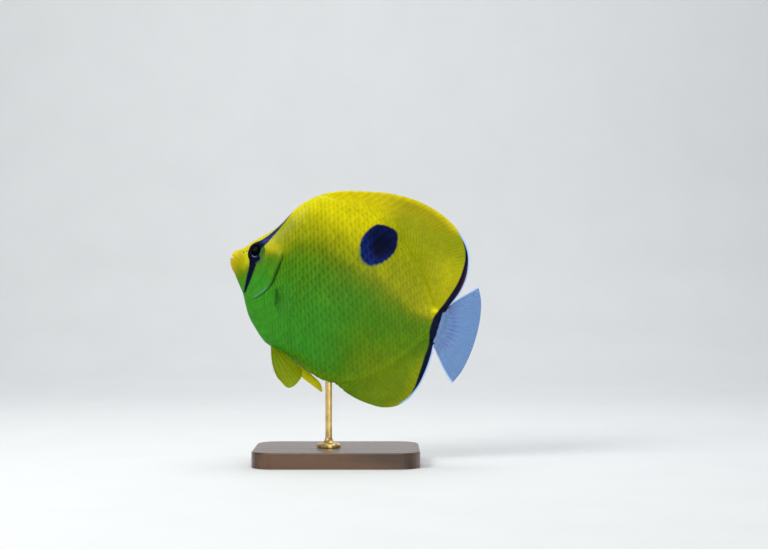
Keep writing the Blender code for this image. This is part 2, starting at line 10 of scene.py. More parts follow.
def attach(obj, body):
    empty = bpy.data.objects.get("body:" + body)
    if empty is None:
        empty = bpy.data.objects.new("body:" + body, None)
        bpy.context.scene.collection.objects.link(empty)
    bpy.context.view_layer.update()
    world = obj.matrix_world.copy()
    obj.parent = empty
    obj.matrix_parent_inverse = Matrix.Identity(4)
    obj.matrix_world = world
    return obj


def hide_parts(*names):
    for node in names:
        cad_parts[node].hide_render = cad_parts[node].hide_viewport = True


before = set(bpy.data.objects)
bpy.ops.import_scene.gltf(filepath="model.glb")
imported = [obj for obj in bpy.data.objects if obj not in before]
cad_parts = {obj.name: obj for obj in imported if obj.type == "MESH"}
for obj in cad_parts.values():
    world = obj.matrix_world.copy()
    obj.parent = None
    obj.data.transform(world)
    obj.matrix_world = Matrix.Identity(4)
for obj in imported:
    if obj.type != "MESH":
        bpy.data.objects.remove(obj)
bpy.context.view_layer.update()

# The looks of the butterflyfish. Sizes are in millimetres in the fish's own frame, +X from the snout
# to the tail and +Z towards the back, until to_world() tips the fish head up and lifts it.
MM = 0.001
PITCH = math.radians(17)
SNOUT_AT = (-62.4, 0.0, 116.5)
RANDOM = np.random.default_rng(17)

# The body, as the solids have it.
BACK_LINE = [
    (0.5, 5.9), (2, 7.6), (5, 9.7), (7, 11.6), (9, 14.6), (12, 17.8), (15, 20.8), (18.5, 24.4),
    (22, 29.2), (25, 34.8), (27.5, 39.8), (31, 44.8), (36, 50), (45, 52.3), (57, 53), (69, 51.8),
    (80, 48.6), (90, 43.6), (98, 37.8), (105, 31.3), (111, 24.6), (116, 18), (120, 12.6),
    (124, 9.5), (127, 9),
]
BELLY_LINE = [
    (0.5, 0.2), (1.5, -1.8), (5, -5.7), (9, -10.6), (12.5, -14.8), (15, -18.6), (17, -22),
    (20, -26.5), (25, -31.6), (30, -35.9), (33, -38), (37, -39.6), (45, -42.2), (55, -45.2),
    (65, -48.2), (72, -49.6), (80, -49), (90, -44.8), (100, -37.6), (108, -29), (115, -19.5),
    (120, -12.6), (124, -9.5), (127, -9),
]
# Along, half width, height of the widest place, half width of the crest above and below, and how
# quickly the flank falls away above and below.
SECTIONS = [
    (0.5, 1.7, 3.0, 0.5, 0.5, 0.80, 0.80),
    (3, 3.0, 3.2, 0.7, 0.6, 0.80, 0.80),
    (7, 4.3, 4.0, 0.9, 0.7, 0.85, 0.90),
    (13, 6.4, 5.0, 1.1, 0.8, 0.85, 1.00),
    (20, 8.2, 4.0, 1.3, 1.0, 0.95, 1.00),
    (28, 9.8, 1.0, 1.3, 1.4, 1.15, 0.95),
    (38, 10.9, -3.0, 1.5, 2.4, 1.40, 0.85),
    (50, 11.2, -5.0, 1.7, 2.6, 1.50, 0.85),
    (65, 10.6, -5.0, 1.7, 2.6, 1.50, 0.90),
    (80, 9.0, -2.0, 1.7, 1.8, 1.50, 1.20),
    (95, 6.9, 0.0, 1.5, 1.5, 1.40, 1.30),
    (110, 4.7, 0.0, 1.3, 1.3, 1.20, 1.20),
    (120, 3.5, 0.0, 1.1, 1.1, 1.00, 1.00),
    (127, 3.0, 0.0, 1.0, 1.0, 1.00, 1.00),
]
CREST_ROUNDING = 1.5
BODY_SPAN = (0.5, 127.0)
GILL_EDGE = [
    (-60, 12), (-20, 15.8), (-15.5, 20.5), (-9.5, 25), (-5, 27), (3, 28), (10, 28.5), (18, 28.4),
    (28, 27.6), (60, 28),
]
GILL_AT = 28.0
GILL_RAISE = 0.9
GILL_REACH = 3.5
GILL_SPAN = (-19, 16)
CHEEK_EDGE = [(-24, 13), (-12, 16.5), (-5, 20), (4, 21.5), (14, 20.5)]
CHEEK_RAISE = 0.35
EYE_AT = (14.0, 9.7)
# The eyeball's half sizes, and the half width and height of what shows of it.
EYE_RADII = (5.6, 3.0, 6.5)
EYE_SEEN = (4.75, 5.9)
EYE_SINK = 1.3
LIP_RADIUS = 0.95
LIP_HALF = 2.9
UPPER_LIP = ((1.3, 5.3), (4.2, 3.7))
LOWER_LIP = ((0.75, 2.0), (4.2, 2.3))
MOUTH_CLEFT = [(2.3, 3.15), (-2.0, 2.6), (-2.0, 5.1)]
NOSTRILS = [(6.6, 8.0), (8.1, 9.0)]
NOSTRIL_RADII = (0.45, 1.2, 0.45)
TUBE_SIDES = 20

# The fins, as the solids have them.
DORSAL_RAYS = [
    (36.5, 37.5, 51.5), (45, 50.5, 58.3), (57, 65, 62.7), (69, 80, 65.7), (80, 95, 65.8),
    (90, 110, 62.4), (98, 123, 55.4), (105, 131.2, 46.4), (111, 134.6, 34.5), (116, 134, 24),
    (121, 130.6, 14.6), (125.0, 127.9, 9.6),
]
DORSAL_SPINES = 12
DORSAL_SOFT_RAYS = 22
ANAL_RAYS = [
    (79, 80.2, -49.9), (82, 86.5, -51.2), (86, 93.5, -54), (90.5, 101, -55.1), (95, 109.5, -54.8),
    (99.5, 117, -51.8), (104, 122.6, -46), (108.5, 126.6, -36.6), (113, 128.2, -26),
    (117.5, 128.4, -17.2), (121.5, 127.6, -12), (125.0, 127.0, -9.6),
]
ANAL_SPINES = 3
ANAL_SOFT_RAYS = 18
FIN_WAVE = 0.6
FIN_WAVES = 5.0
SPINE_NOTCH = 0.35
FIN_SINK = 7.0
TAIL_SINK = 1.6
ROOT_BLEND = 1.6
REAR_BLEND = 2.2
ROOT_FADE = 8.0
DORSAL_FROM = 37.5
ANAL_FROM = 80.0
# The rays between which the pale blue rim comes in, is full, and goes out again.
DORSAL_RIM = (17.3, 18.8, 29.5, 31.5)
ANAL_RIM = (9.0, 10.5, 17.8, 19.2)
TAIL_RAYS = [
    (-8.2, 144.3, -30, -2.0), (-6.3, 147.6, -22, -0.8), (-4, 149.3, -13.5, -0.3), (-1.4, 150, -4.8, 0),
    (1.4, 149.8, 4.8, 0), (4, 148.6, 13.8, 0.2), (6.3, 146.3, 21.8, 0.4), (8.2, 142.6, 28.6, 0.6),
]
TAIL_SOFT_RAYS = 17
TAIL_SWING = 2.5
TAIL_ASIDE = 0.7
TAIL_JOINT = 1.1
# The violet arc across the tail fin: its middle's place along, its radius and its reach.
TAIL_ARC = (118.0, 17.5, 2.4)
PELVIC_ROOT = ((37.4, 2.3), (40.8, 2.9))
PELVIC_LEFT_TIPS = [
    (48, 23.5, -54.4), (54, 27, -57.4), (57.3, 25, -56.3), (59.2, 20, -53.2), (60, 14, -50),
    (58.8, 8.6, -47.2),
]
PELVIC_RIGHT_TIPS = [
    (68, 5.8, -54.9), (73.2, 6.4, -57), (72.5, 6.8, -54.6), (70.5, 7.2, -52.2), (67, 7.4, -50.4),
    (61, 7.4, -48),
]
PECTORAL_ROOT = ((30.6, -7.6), (33.0, -15.8))
PECTORAL_RAYS = 14
PECTORAL_LENGTH = 27.0
PECTORAL_SPLAY = math.radians(66)
PECTORAL_FAN = (math.radians(16), math.radians(-50))
PECTORAL_SHAPE = [(0, 0.80), (1.5, 0.95), (4, 1.0), (7, 0.90), (10, 0.70), (13, 0.42)]
PECTORAL_CUP = 3.0
# Half the thickness of each fin's membrane, and how far its rays stand out from it. The dorsal and
# the anal fin's spines stand out further than their soft rays.
FIN_THICK = (0.18, 0.12)
SPINE_RIDGE = 0.17
TAIL_THICK = (0.13, 0.16)
PELVIC_THICK = (0.15, 0.13)
PELVIC_SPINE = 0.2
PECTORAL_THICK = (0.09, 0.12)

# The markings, each as places in the fish's frame.
# The eye bar's front and rear edge, as (height, along).
BAR_FRONT = [
    (-16, 13.4), (-10, 12.9), (-5, 12.5), (2, 11.9), (5.5, 10.8), (8, 9.7), (10.5, 9.2),
    (13, 9.6), (15, 11.2), (17.5, 14.2), (21, 17.2), (25, 19.9), (28, 21.7), (31, 23.3), (40, 26.9),
]
BAR_REAR = [
    (-16, 14.3), (-10, 15.0), (-5, 15.5), (2, 15.8), (5, 16.0), (8, 16.4), (13, 16.8), (15, 17.3),
    (17.5, 18.6), (21, 20.1), (26, 22.2), (31, 24.2), (40, 27.3),
]
BAR_ENDS = (-15.2, 39.5)
BAR_SOFT = 0.22
SPOT = [
    (77, 46.3), (84, 46.5), (88.5, 44.3), (90.2, 39), (90.3, 35), (88.5, 29.5), (85, 25.5),
    (81, 22.7), (78, 21.8), (75, 22.6), (72, 25.5), (70.3, 30.5), (69.8, 36), (72, 41.3), (74.5, 44.7),
]
SPOT_MIDDLE = (80.0, 35.0)
SPOT_CORE = (81.5, 35.0, 6.5, 8.5)
SPOT_SOFT = 0.45
# The inner edge of the dark band along the rear, as (height, along).
BAND_EDGE = [
    (-60, 112), (-51.5, 117), (-48.5, 120.5), (-45, 122.4), (-40, 123.8), (-30, 124.4), (-20, 124.5),
    (-10.5, 124.4), (-8.5, 123.9), (-5, 122.9), (0, 122.6), (5, 123.0), (7.5, 123.9), (10, 124.9),
    (12, 125.8), (16, 127.2), (20, 128.5), (28, 130.5), (35, 131.0), (42, 130.4), (47, 128.7),
    (51, 126.0), (56, 121), (66, 111),
]
BAND_SPAN = (-52.0, 53.0)
BAND_SOFT = 0.3
# Where its outer edge turns red, as a height and a reach.
RED_AT = (29, 8)
# Its rear edge on the tail's root, as (height, along).
BAND_END = [(-12, 126.7), (6, 126.8), (8.2, 127.2), (10.3, 129.0), (13, 131.0)]
# The painted highlight ahead of the band, the yellow patch behind the eye and the painted olive
# shade above it, each as a place and a reach.
PAINTED_HIGHLIGHT_SPOT = (122.9, 8.2, 2.6, 1.5)
LOBE = (22.8, 16.0, 6.5, 3.8)
PAINTED_NAPE_SHADE = (28.0, 27.0, 8.0, 7.0)
# Where the scales stand out most, by painted shade at their roots.
ROOT_SHADE_PATCH = (52.0, 12.0, 26.0, 20.0)
# Where the fish's yellow turns to painted green, which stands for the blue-green light on the lower flank,
# as (along, height), with how far up and down the change reaches.
PAINTED_GREEN_LINE = [
    (0, -9, 14, 8), (6, -4, 16, 6), (10, -3, 9, 5), (15, 4.5, 7, 4.5), (22, 11.5, 24, 5),
    (28, 15, 30, 9), (36, 21, 28, 14), (55, 20, 26, 14), (75, 15, 26, 14), (95, 8, 24, 14),
    (112, 2, 10, 12), (127, 1, 6, 10),
]


def curve_through(points):
    """A smooth curve through points of rising first value, as a function of that value."""
    table = np.array(points, float)
    x, y = table[:, 0], table[:, 1:]
    slope = np.gradient(y, x, axis=0)

    def at(value):
        t = np.clip(np.asarray(value, float), x[0], x[-1])
        i = np.clip(np.searchsorted(x, t) - 1, 0, len(x) - 2)
        step = x[i + 1] - x[i]
        u = ((t - x[i]) / step)[..., None]
        width = np.asarray(step)[..., None]
        found = (
            (2 * u**3 - 3 * u**2 + 1) * y[i]
            + (u**3 - 2 * u**2 + u) * width * slope[i]
            + (3 * u**2 - 2 * u**3) * y[i + 1]
            + (u**3 - u**2) * width * slope[i + 1]
        )
        return found[..., 0] if y.shape[1] == 1 else found

    return at


back_line = curve_through(BACK_LINE)
belly_line = curve_through(BELLY_LINE)
sections = curve_through(SECTIONS)
gill_edge = curve_through(GILL_EDGE)
cheek_edge = curve_through(CHEEK_EDGE)
bar_front = curve_through(BAR_FRONT)
bar_rear = curve_through(BAR_REAR)
band_edge = curve_through(BAND_EDGE)
band_end = curve_through(BAND_END)
painted_green_line = curve_through(PAINTED_GREEN_LINE)


def smooth(low, high, value):
    """0 at low and 1 at high, with an even change between, whichever of the two is larger."""
    t = np.clip((value - low) / (high - low), 0, 1)
    return t * t * (3 - 2 * t)


def window(value, start, full, fade, end):
    """0 up to start, 1 from full to fade, and 0 again from end on."""
    return smooth(start, full, value) * smooth(end, fade, value)


def bell(value, width):
    """1 at 0, falling to nothing past width on both sides."""
    return np.exp(-((value / width) ** 2))


def rounded_outline(points, steps):
    """A closed outline through points, rounded between them."""
    ring = np.array(points, float)
    before, after, later = np.roll(ring, 1, 0), np.roll(ring, -1, 0), np.roll(ring, -2, 0)
    u = np.linspace(0, 1, steps, endpoint=False)[None, :, None]
    p, start, end, q = (block[:, None] for block in (before, ring, after, later))
    flat = 0.5 * (
        2 * start + (end - p) * u + (2 * p - 5 * start + 4 * end - q) * u**2
        + (3 * start - p - 3 * end + q) * u**3
    )
    return flat.reshape(-1, 2)


SPOT_OUTLINE = rounded_outline(SPOT, 8)


def stack(x, y, z):
    """Points from their three coordinates, any of which may be one number."""
    return np.stack(np.broadcast_arrays(x, y, z), axis=-1).astype(float)


def half_width(along, height):
    """Half the body's thickness at a place on its flank."""
    width, widest, crest_up, crest_down, lean_up, lean_down = np.moveaxis(sections(along), -1, 0)
    above = height > widest
    edge = np.where(above, back_line(along), belly_line(along))
    share = np.clip((height - widest) / (edge - widest), 0, 1)
    crest = np.where(above, crest_up, crest_down)
    lean = np.where(above, lean_up, lean_down)
    rounding = CREST_ROUNDING * np.abs(edge - widest) / crest
    rounded = crest * np.sqrt(1 - share**rounding)
    return rounded + (width - crest) * (1 - share**2) ** (lean / 2)


def ring_height(along, turn):
    """Height on the ring of the body at along, for turn from -1 at the belly to 1 at the back."""
    widest = sections(along)[..., 1]
    reach = np.where(turn > 0, back_line(along) - widest, widest - belly_line(along))
    return widest + reach * np.sin(turn * math.pi / 2)


def from_eye(along, height):
    """The distance from the eye's middle, which is 1 all round its edge."""
    return np.hypot((along - EYE_AT[0]) / EYE_SEEN[0], (height - EYE_AT[1]) / EYE_SEEN[1])


def eye_turn(along, height):
    """The angle round the eye's middle in degrees, 0 at the rear and 90 at the top."""
    return np.degrees(np.arctan2(height - EYE_AT[1], along - EYE_AT[0]))


def head_relief(along, height, behind):
    """How far the skin of the head stands proud. behind is the distance past the gill slit."""
    low, high = GILL_SPAN
    fade = window(height, low, low + 5, high - 5, high)
    ahead = behind < 0
    flap = GILL_RAISE * smooth(-GILL_REACH, -0.4, behind) * fade * ahead
    slit = -0.35 * bell(behind, 1.0) * fade * ~ahead
    past = along - cheek_edge(height)
    cheek = CHEEK_RAISE * smooth(-3, 0, past) * smooth(1.2, 0, past) * fade
    out = from_eye(along, height)
    rim = 0.35 * bell(out - 1.0, 0.09)
    hollow = -0.12 * bell(out - 1.3, 0.2)
    return flap + slit + cheek + rim + hollow


TILT = np.array(Matrix.Rotation(PITCH, 3, "Y"))


def to_world(points):
    """Points of the fish's frame, in millimetres, as world coordinates in metres."""
    return (points @ TILT.T + np.array(SNOUT_AT)) * MM


def to_fish(points):
    """World coordinates in metres as points of the fish's frame, in millimetres."""
    return (points / MM - np.array(SNOUT_AT)) @ TILT


def outline_distance(along, height, outline):
    """Distance to a closed outline, under 0 inside it."""
    place = np.stack([along, height], axis=-1)[..., None, :]
    start = np.array(outline, float)
    end = np.roll(start, -1, axis=0)
    side = end - start
    share = np.clip(((place - start) * side).sum(-1) / (side**2).sum(-1), 0, 1)
    distance = np.linalg.norm(place - start - share[..., None] * side, axis=-1).min(-1)
    x, z = place[..., 0], place[..., 1]
    crosses = (start[:, 1] > z) != (end[:, 1] > z)
    rise = np.where(end[:, 1] == start[:, 1], 1, end[:, 1] - start[:, 1])
    at = start[:, 0] + (z - start[:, 1]) * side[:, 0] / rise
    inside = (crosses & (x < at)).sum(-1) % 2 == 1
    return np.where(inside, -distance, distance)


def patch_at(along, height, place):
    """1 at a place, falling to nothing past its reach."""
    x, z, wide, tall = place
    return bell(along - x, wide) * bell(height - z, tall)


def painted_green_of(along, height):
    """How far the yellow at 0 gives way to painted olive shade, then to painted green light at 1."""
    line, up, down = np.moveaxis(painted_green_line(along), -1, 0)
    over = np.clip((height - line) / up, 0, 1)
    under = np.clip((line - height) / down, 0, None)
    green = 0.5 + 0.28 * (1 - np.exp(-2 * under)) + 0.22 * smooth(0, 3.5, under)
    tone = np.where(over > 0, 0.5 * (1 - over) ** 1.4, green)
    tone = np.minimum(tone, 1 - 0.27 * smooth(55, 90, along) - 0.07 * smooth(95, 115, along))
    tone = tone * (1 - 0.75 * patch_at(along, height, LOBE))
    # Painted shade: an olive band on the nape.
    tone = tone + np.clip(0.32 - tone, 0, None) * patch_at(along, height, PAINTED_NAPE_SHADE)
    # Painted shade: the back turns olive towards the rear.
    rear = smooth(72, 92, along) * (0.29 - 0.12 * smooth(106, 122, along) * smooth(46, 34, height))
    # A painted highlight clears the green ahead of the band.
    tone = np.maximum(tone, rear) * (1 - patch_at(along, height, PAINTED_HIGHLIGHT_SPOT))
    # The lower rear and the belly's edge go back from the painted green towards olive; along the belly's
    # edge this stands for light from below.
    olive = smooth(72, 104, along) * smooth(-10, -34, height)
    edge = window(along, 42, 55, 72, 90) * smooth(10, 1, height - belly_line(along))
    tone = tone - (tone - 0.5) * np.clip(0.9 * olive + 0.6 * edge, 0, 1)
    return tone - 0.14 * smooth(8, 0.5, band_edge(height) - along) * smooth(-12, -24, height)


def bar_at(along, height):
    """The dark bar through the eye."""
    low, high = BAR_ENDS
    bar = smooth(-BAR_SOFT, BAR_SOFT, along - bar_front(height))
    bar = bar * smooth(BAR_SOFT, -BAR_SOFT, along - bar_rear(height))
    return bar * window(height, low, low + 1.5, high - 2, high)


def band_at(along, height):
    """The dark band down the rear of the dorsal fin, the tail's root and the anal fin."""
    low, high = BAND_SPAN
    band = smooth(-BAND_SOFT, BAND_SOFT, along - band_edge(height))
    return band * window(height, low, low + 3, high - 4, high)


def spot_at(along, height):
    """The round spot, the blue in it and the green rim below it."""
    x, z, wide, tall = SPOT_CORE
    gap = outline_distance(along, height, SPOT_OUTLINE)
    spot = smooth(SPOT_SOFT, -SPOT_SOFT, gap)
    low = (along - SPOT_MIDDLE[0]) * 0.45 + (height - SPOT_MIDDLE[1])
    core = np.hypot((along - x) / wide, (height - z) / tall)
    blue = smooth(0.5, 1.15, core) * (0.30 + 0.70 * smooth(5, -7, low))
    halo = 0.8 * smooth(1.5, 0.0, gap) * (1 - spot) * smooth(-2, -11, low)
    return spot, spot * blue, halo


def pale_lines(along, height, past):
    """The pale lines ahead of the bar on the forehead, below the eye and along the gill cover."""
    line = 0.45 * bell(along - bar_front(height) + 0.55, 0.3) * window(height, 21, 24, 28, 31)
    below = window(eye_turn(along, height), -85, -70, -30, -10)
    line = np.maximum(line, 0.6 * bell(from_eye(along, height) - 1.0, 0.06) * below)
    if past is None:
        return line
    cover = (0.45 + 0.4 * smooth(-7, -10, height)) * window(height, -17, -14, -6, -2.5)
    return np.maximum(line, bell(past + 0.4, 0.35) * cover)


def shadows(along, height, past):
    """The shade at the eye's rear edge, at the mouth's corner and behind the gill cover."""
    behind = window(eye_turn(along, height), -5, 10, 45, 65)
    shadow = 0.6 * bell(from_eye(along, height) - 0.98, 0.07) * behind
    shadow = np.maximum(shadow, 0.6 * bell(height - 3.2, 0.3) * smooth(4.6, 3.4, along))
    if past is None:
        return shadow
    return np.maximum(shadow, bell(past - 0.6, 1.1) * window(height, -8, -2, 7, 11))


def painted_light_at(along, height):
    """Painted light: a highlight ahead of the band and light along the belly's edge, anal fin base and
    lower rear.
    """
    up = height - belly_line(along)
    belly = 0.7 * smooth(5.5, 0.5, up) * window(along, 56, 66, 80, 88)
    base = 0.5 * bell(up - 0.8, 1.8) * window(along, 78, 86, 114, 121)
    brightest = np.maximum(patch_at(along, height, PAINTED_HIGHLIGHT_SPOT), np.maximum(belly, base))
    return brightest + 0.2 * smooth(98, 106, along) * smooth(-16, -24, height)


def markings(along, height, spot_places=None, past=None):
    """The pattern at places of the fish, with its painted shade and painted light, as named values.

    spot_places are other places to read the round spot at, and past is the distance behind the
    gill slit.
    """
    if spot_places is None:
        spot_places = (along, height)
    bar = bar_at(along, height)
    spot, blue, halo = spot_at(*spot_places)
    return {
        "line": pale_lines(along, height, past),
        "shadow": shadows(along, height, past),
        # Painted olive shade and painted green light over the fish's yellow.
        "tone": painted_green_of(along, height),
        "face": smooth(9, 1, along) * smooth(16, 6, height) + 0.5 * smooth(50, 60, height),
        "dark": np.maximum(np.maximum(bar, spot), band_at(along, height)),
        "navy": np.maximum(bar * smooth(13, 19, height), blue),
        "halo": halo,
        "red": np.zeros_like(along),
        # Painted light: a highlight and light along the belly and the anal fin's base.
        "glow": painted_light_at(along, height),
    }


def store_values(mesh, values):
    """Keeps named values at the mesh's points."""
    for key, value in values.items():
        layer = mesh.attributes.new(key, "FLOAT", "POINT")
        layer.data.foreach_set("value", np.ascontiguousarray(value, np.float32).ravel())
    mesh.shade_smooth()


def fish_places(mesh):
    """The mesh's points in the fish's frame."""
    place = np.empty(len(mesh.vertices) * 3, np.float32)
    mesh.vertices.foreach_get("co", place)
    return to_fish(place.reshape(-1, 3).astype(float))


def make_mesh(name, points, faces, values=None):
    """A mesh from world points, faces of any size and named values at the points."""
    mesh = bpy.data.meshes.new(name)
    mesh.vertices.add(len(points))
    mesh.vertices.foreach_set("co", np.ascontiguousarray(points, np.float32).ravel())
    sizes = np.concatenate([np.full(len(block), block.shape[1]) for block in faces])
    corners = np.concatenate([block.ravel() for block in faces])
    mesh.loops.add(len(corners))
    mesh.loops.foreach_set("vertex_index", corners.astype(np.int32))
    mesh.polygons.add(len(sizes))
    starts = np.concatenate([[0], np.cumsum(sizes)[:-1]])
    mesh.polygons.foreach_set("loop_start", starts.astype(np.int32))
    mesh.update(calc_edges=True)
    mesh.validate()
    store_values(mesh, values or {})
    return mesh


def new_object(name, data):
    made = bpy.data.objects.new(name, data)
    bpy.context.scene.collection.objects.link(made)
    return made


def add_piece(name, mesh, material, slot, *nodes):
    """A piece of the fish that stands for the nodes, if any."""
    piece = new_object(name, mesh)
    mesh.materials.clear()
    mesh.materials.append(material)
    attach(piece, "root")
    if nodes:
        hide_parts(*nodes)
    return piece


class Graph:
    """A material's node tree, with short ways to add its nodes."""

    def __init__(self, name):
        self.material = bpy.data.materials.new(name)
        self.material.use_nodes = True
        self.tree = self.material.node_tree
        self.shader = self.tree.nodes["Principled BSDF"]

    def link(self, value, socket):
        if isinstance(value, bpy.types.NodeSocket):
            self.tree.links.new(value, socket)
        elif socket.type == "RGBA" and len(value) == 3:
            socket.default_value = (*value, 1.0)
        else:
            socket.default_value = value

    def set(self, **values):
        """Sets or links the shader's sockets: base_color stands for Base Color."""
        names = {socket.name.lower().replace(" ", "_"): socket for socket in self.shader.inputs}
        for key, value in values.items():
            self.link(value, names[key])

    def node(self, kind, **numbers):
        """A new node with its sockets set to the numbers: from_min stands for From Min."""
        made = self.tree.nodes.new("ShaderNode" + kind)
        for key, number in numbers.items():
            made.inputs[key.replace("_", " ").title()].default_value = number
        return made

    def value(self, name):
        node = self.node("Attribute")
        node.attribute_name = name
        return node.outputs["Fac"]

    def place(self, scale=(1, 1, 1)):
        """Object coordinates in millimetres, stretched by scale."""
        mapping = self.node("Mapping", scale=[s / MM for s in scale])
        self.link(self.node("TexCoord").outputs["Object"], mapping.inputs["Vector"])
        return mapping.outputs["Vector"]

    def noise(self, place, scale, detail):
        node = self.node("TexNoise", scale=scale, detail=detail)
        self.link(place, node.inputs["Vector"])
        return node.outputs["Fac"]

    def math(self, operation, a, b=0.0):
        node = self.node("Math")
        node.operation = operation
        self.link(a, node.inputs[0])
        self.link(b, node.inputs[1])
        return node.outputs[0]

    def plus(self, a, b):
        return self.math("ADD", a, b)

    def times(self, first, *others):
        product = first
        for other in others:
            product = self.math("MULTIPLY", product, other)
        return product

    def ramp(self, value, low, high, start=0.0, end=1.0):
        """value taken from the range low..high to start..end, held at the ends."""
        node = self.node("MapRange", from_min=low, from_max=high, to_min=start, to_max=end)
        self.link(value, node.inputs["Value"])
        return node.outputs["Result"]

    def mix(self, share, a, b, blend="MIX"):
        node = self.node("Mix")
        node.data_type = "RGBA"
        node.blend_type = blend
        self.link(share, node.inputs["Factor"])
        # The colour sockets share their names with others, so they go by number.
        self.link(a, node.inputs[6])
        self.link(b, node.inputs[7])
        return node.outputs[2]

    def layers(self, colour, *paints):
        """colour under more paints, each laid over it by a share or by the value of that name."""
        for share, paint in paints:
            if isinstance(share, str):
                share = self.value(share)
            colour = self.mix(share, colour, paint)
        return colour

    def grey(self, value):
        node = self.node("CombineColor")
        for socket in node.inputs[:3]:
            self.link(value, socket)
        return node.outputs[0]

    def bump(self, height, distance):
        node = self.node("Bump", distance=distance * MM)
        self.link(height, node.inputs["Height"])
        self.link(node.outputs["Normal"], self.shader.inputs["Normal"])


# The fish's yellow, then the olive of painted shade and the green of the painted blue-green light below.
PAINTED_GREEN_STOPS = [
    (0.0, (0.62, 0.56, 0.002)), (0.25, (0.335, 0.350, 0.002)), (0.5, (0.155, 0.235, 0.002)),
    (0.75, (0.070, 0.220, 0.004)), (1.0, (0.040, 0.255, 0.014)),
]
ORANGE = (0.80, 0.42, 0.004)
INK = (0.0007, 0.0026, 0.022)
NAVY = (0.003, 0.018, 0.17)
HALO = (0.030, 0.18, 0.07)
RED_INK = (0.085, 0.010, 0.003)
RIM_BLUE = (0.42, 0.62, 1.0)
PALE_LINE = (0.11, 0.29, 0.24)
# The see-through fins' colours between the rays and on them.
TAIL_WEB = (0.09, 0.26, 0.56)
TAIL_RAY = (0.13, 0.31, 0.68)
PECTORAL_WEB = (0.03, 0.17, 0.035)
PECTORAL_RAY = (0.045, 0.19, 0.045)
# The tail fin's arc, its paler clouds, its root, its outer rays and the rays' joints.
VIOLET = (0.07, 0.15, 0.55)
LILAC = (0.42, 0.42, 0.86)
ROOT_BLUE = (0.19, 0.33, 0.64)
EDGE_BLUE = (0.62, 0.80, 1.0)
JOINT_BLUE = (0.05, 0.12, 0.36)


def painted(graph, light):
    """The fish's colours, from the markings' values, multiplied by light and by the painted shade and
    painted light.
    """
    # The fish's yellow, with painted olive shade and painted green light over it.
    node = graph.node("ValToRGB")
    graph.link(graph.value("tone"), node.inputs["Fac"])
    stops = node.color_ramp.elements
    for _ in PAINTED_GREEN_STOPS[2:]:
        stops.new(0.5)
    for stop, (place, colour) in zip(stops, PAINTED_GREEN_STOPS):
        stop.position = place
        stop.color = (*colour, 1.0)
    face = graph.times(graph.value("face"), 0.32)
    ink = graph.layers(INK, ("navy", NAVY), ("red", RED_INK))
    colour = graph.layers(
        node.outputs["Color"], (face, ORANGE), ("halo", HALO), ("dark", ink), ("line", PALE_LINE)
    )
    shade = graph.ramp(graph.value("shadow"), 0, 1, 1.0, 0.5)
    # Painted light makes the colour brighter.
    glow = graph.ramp(graph.value("glow"), 0, 1.5, 1.0, 1.6)
    return graph.mix(1.0, colour, graph.grey(graph.times(light, shade, glow)), "MULTIPLY")


def skin_material():
    """Mottled, slightly grained skin."""
    graph = Graph("skin_paint")
    place = graph.place()
    mottle = graph.noise(place, 0.35, 4)
    grain = graph.noise(place, 3.0, 3)
    light = graph.plus(graph.ramp(mottle, 0.3, 0.7, 0.8, 1.0), graph.ramp(grain, 0.3, 0.7, -0.06, 0.08))
    graph.set(base_color=painted(graph, light), roughness=graph.ramp(grain, 0.3, 0.7, 0.34, 0.48))
    graph.set(coat_weight=0.03, coat_roughness=0.25, specular_ior_level=0.06)
    graph.bump(graph.plus(grain, graph.times(mottle, 0.6)), 0.05)
    return graph.material


def scale_material():
    """Scales with painted shade at their roots and along their rear edges, each a little different, with
    fine growth rings.
    """
    graph = Graph("scale_paint")
    place = graph.place()
    mottle = graph.noise(place, 0.1, 3)
    grain = graph.noise(place, 5.0, 2)
    rear = graph.value("rear")
    # Painted shade: darker at each scale's root, where the scale ahead overlaps it, and along its rear
    # edge.
    light = graph.times(
        graph.ramp(rear, 0.3, 0.8, 0.78, 1.05),
        graph.ramp(rear, 0.9, 1.0, 1.0, 0.9),
        graph.ramp(graph.value("chance"), 0, 1, 0.92, 1.06),
        graph.ramp(mottle, 0.3, 0.7, 0.92, 1.06),
    )
    graph.set(base_color=painted(graph, light), roughness=graph.ramp(grain, 0.3, 0.7, 0.3, 0.42))
    graph.set(coat_weight=0.04, coat_roughness=0.2, specular_ior_level=0.06)
    fan = graph.math("SINE", graph.times(graph.value("across"), 26.0))
    growth = graph.math("SINE", graph.times(rear, 40.0))
    graph.bump(graph.plus(graph.times(graph.plus(fan, growth), 0.3), grain), 0.008)
    return graph.material


def fin_material():
    """Yellow membrane, brighter on the rays, with a pale blue rim."""
    graph = Graph("fin_paint")
    place = graph.place()
    ridge = graph.ramp(graph.value("ridge"), 0, 1, 0.88, 1.05)
    mottle = graph.ramp(graph.noise(place, 0.3, 4), 0.3, 0.7, 0.9, 1.06)
    colour = graph.layers(painted(graph, graph.times(ridge, mottle)), ("rim_blue", RIM_BLUE))
    graph.set(base_color=colour, roughness=0.42)
    graph.set(coat_weight=0.03, coat_roughness=0.25, specular_ior_level=0.06)
    graph.bump(graph.noise(place, 4.0, 2), 0.03)
    return graph.material


RING_HALF = 110
SLIT_LIMITS = (-11, 2)
RING_TURNS = np.linspace(-1, 1, RING_HALF)


def slit_shift():
    """How far the gill slit lies from GILL_AT, for each turn of RING_TURNS."""
    slit_at = np.full_like(RING_TURNS, GILL_AT)
    for _ in range(20):
        slit_at = 0.5 * slit_at + 0.5 * gill_edge(ring_height(slit_at, RING_TURNS))
    return np.clip(slit_at - GILL_AT, *SLIT_LIMITS)


SLIT_SHIFT = slit_shift()


def warp_share(station):
    """How much of the slit's shift a ring of the skin takes on, by its distance from the slit."""
    return window(station, 5, GILL_AT, GILL_AT, 52)


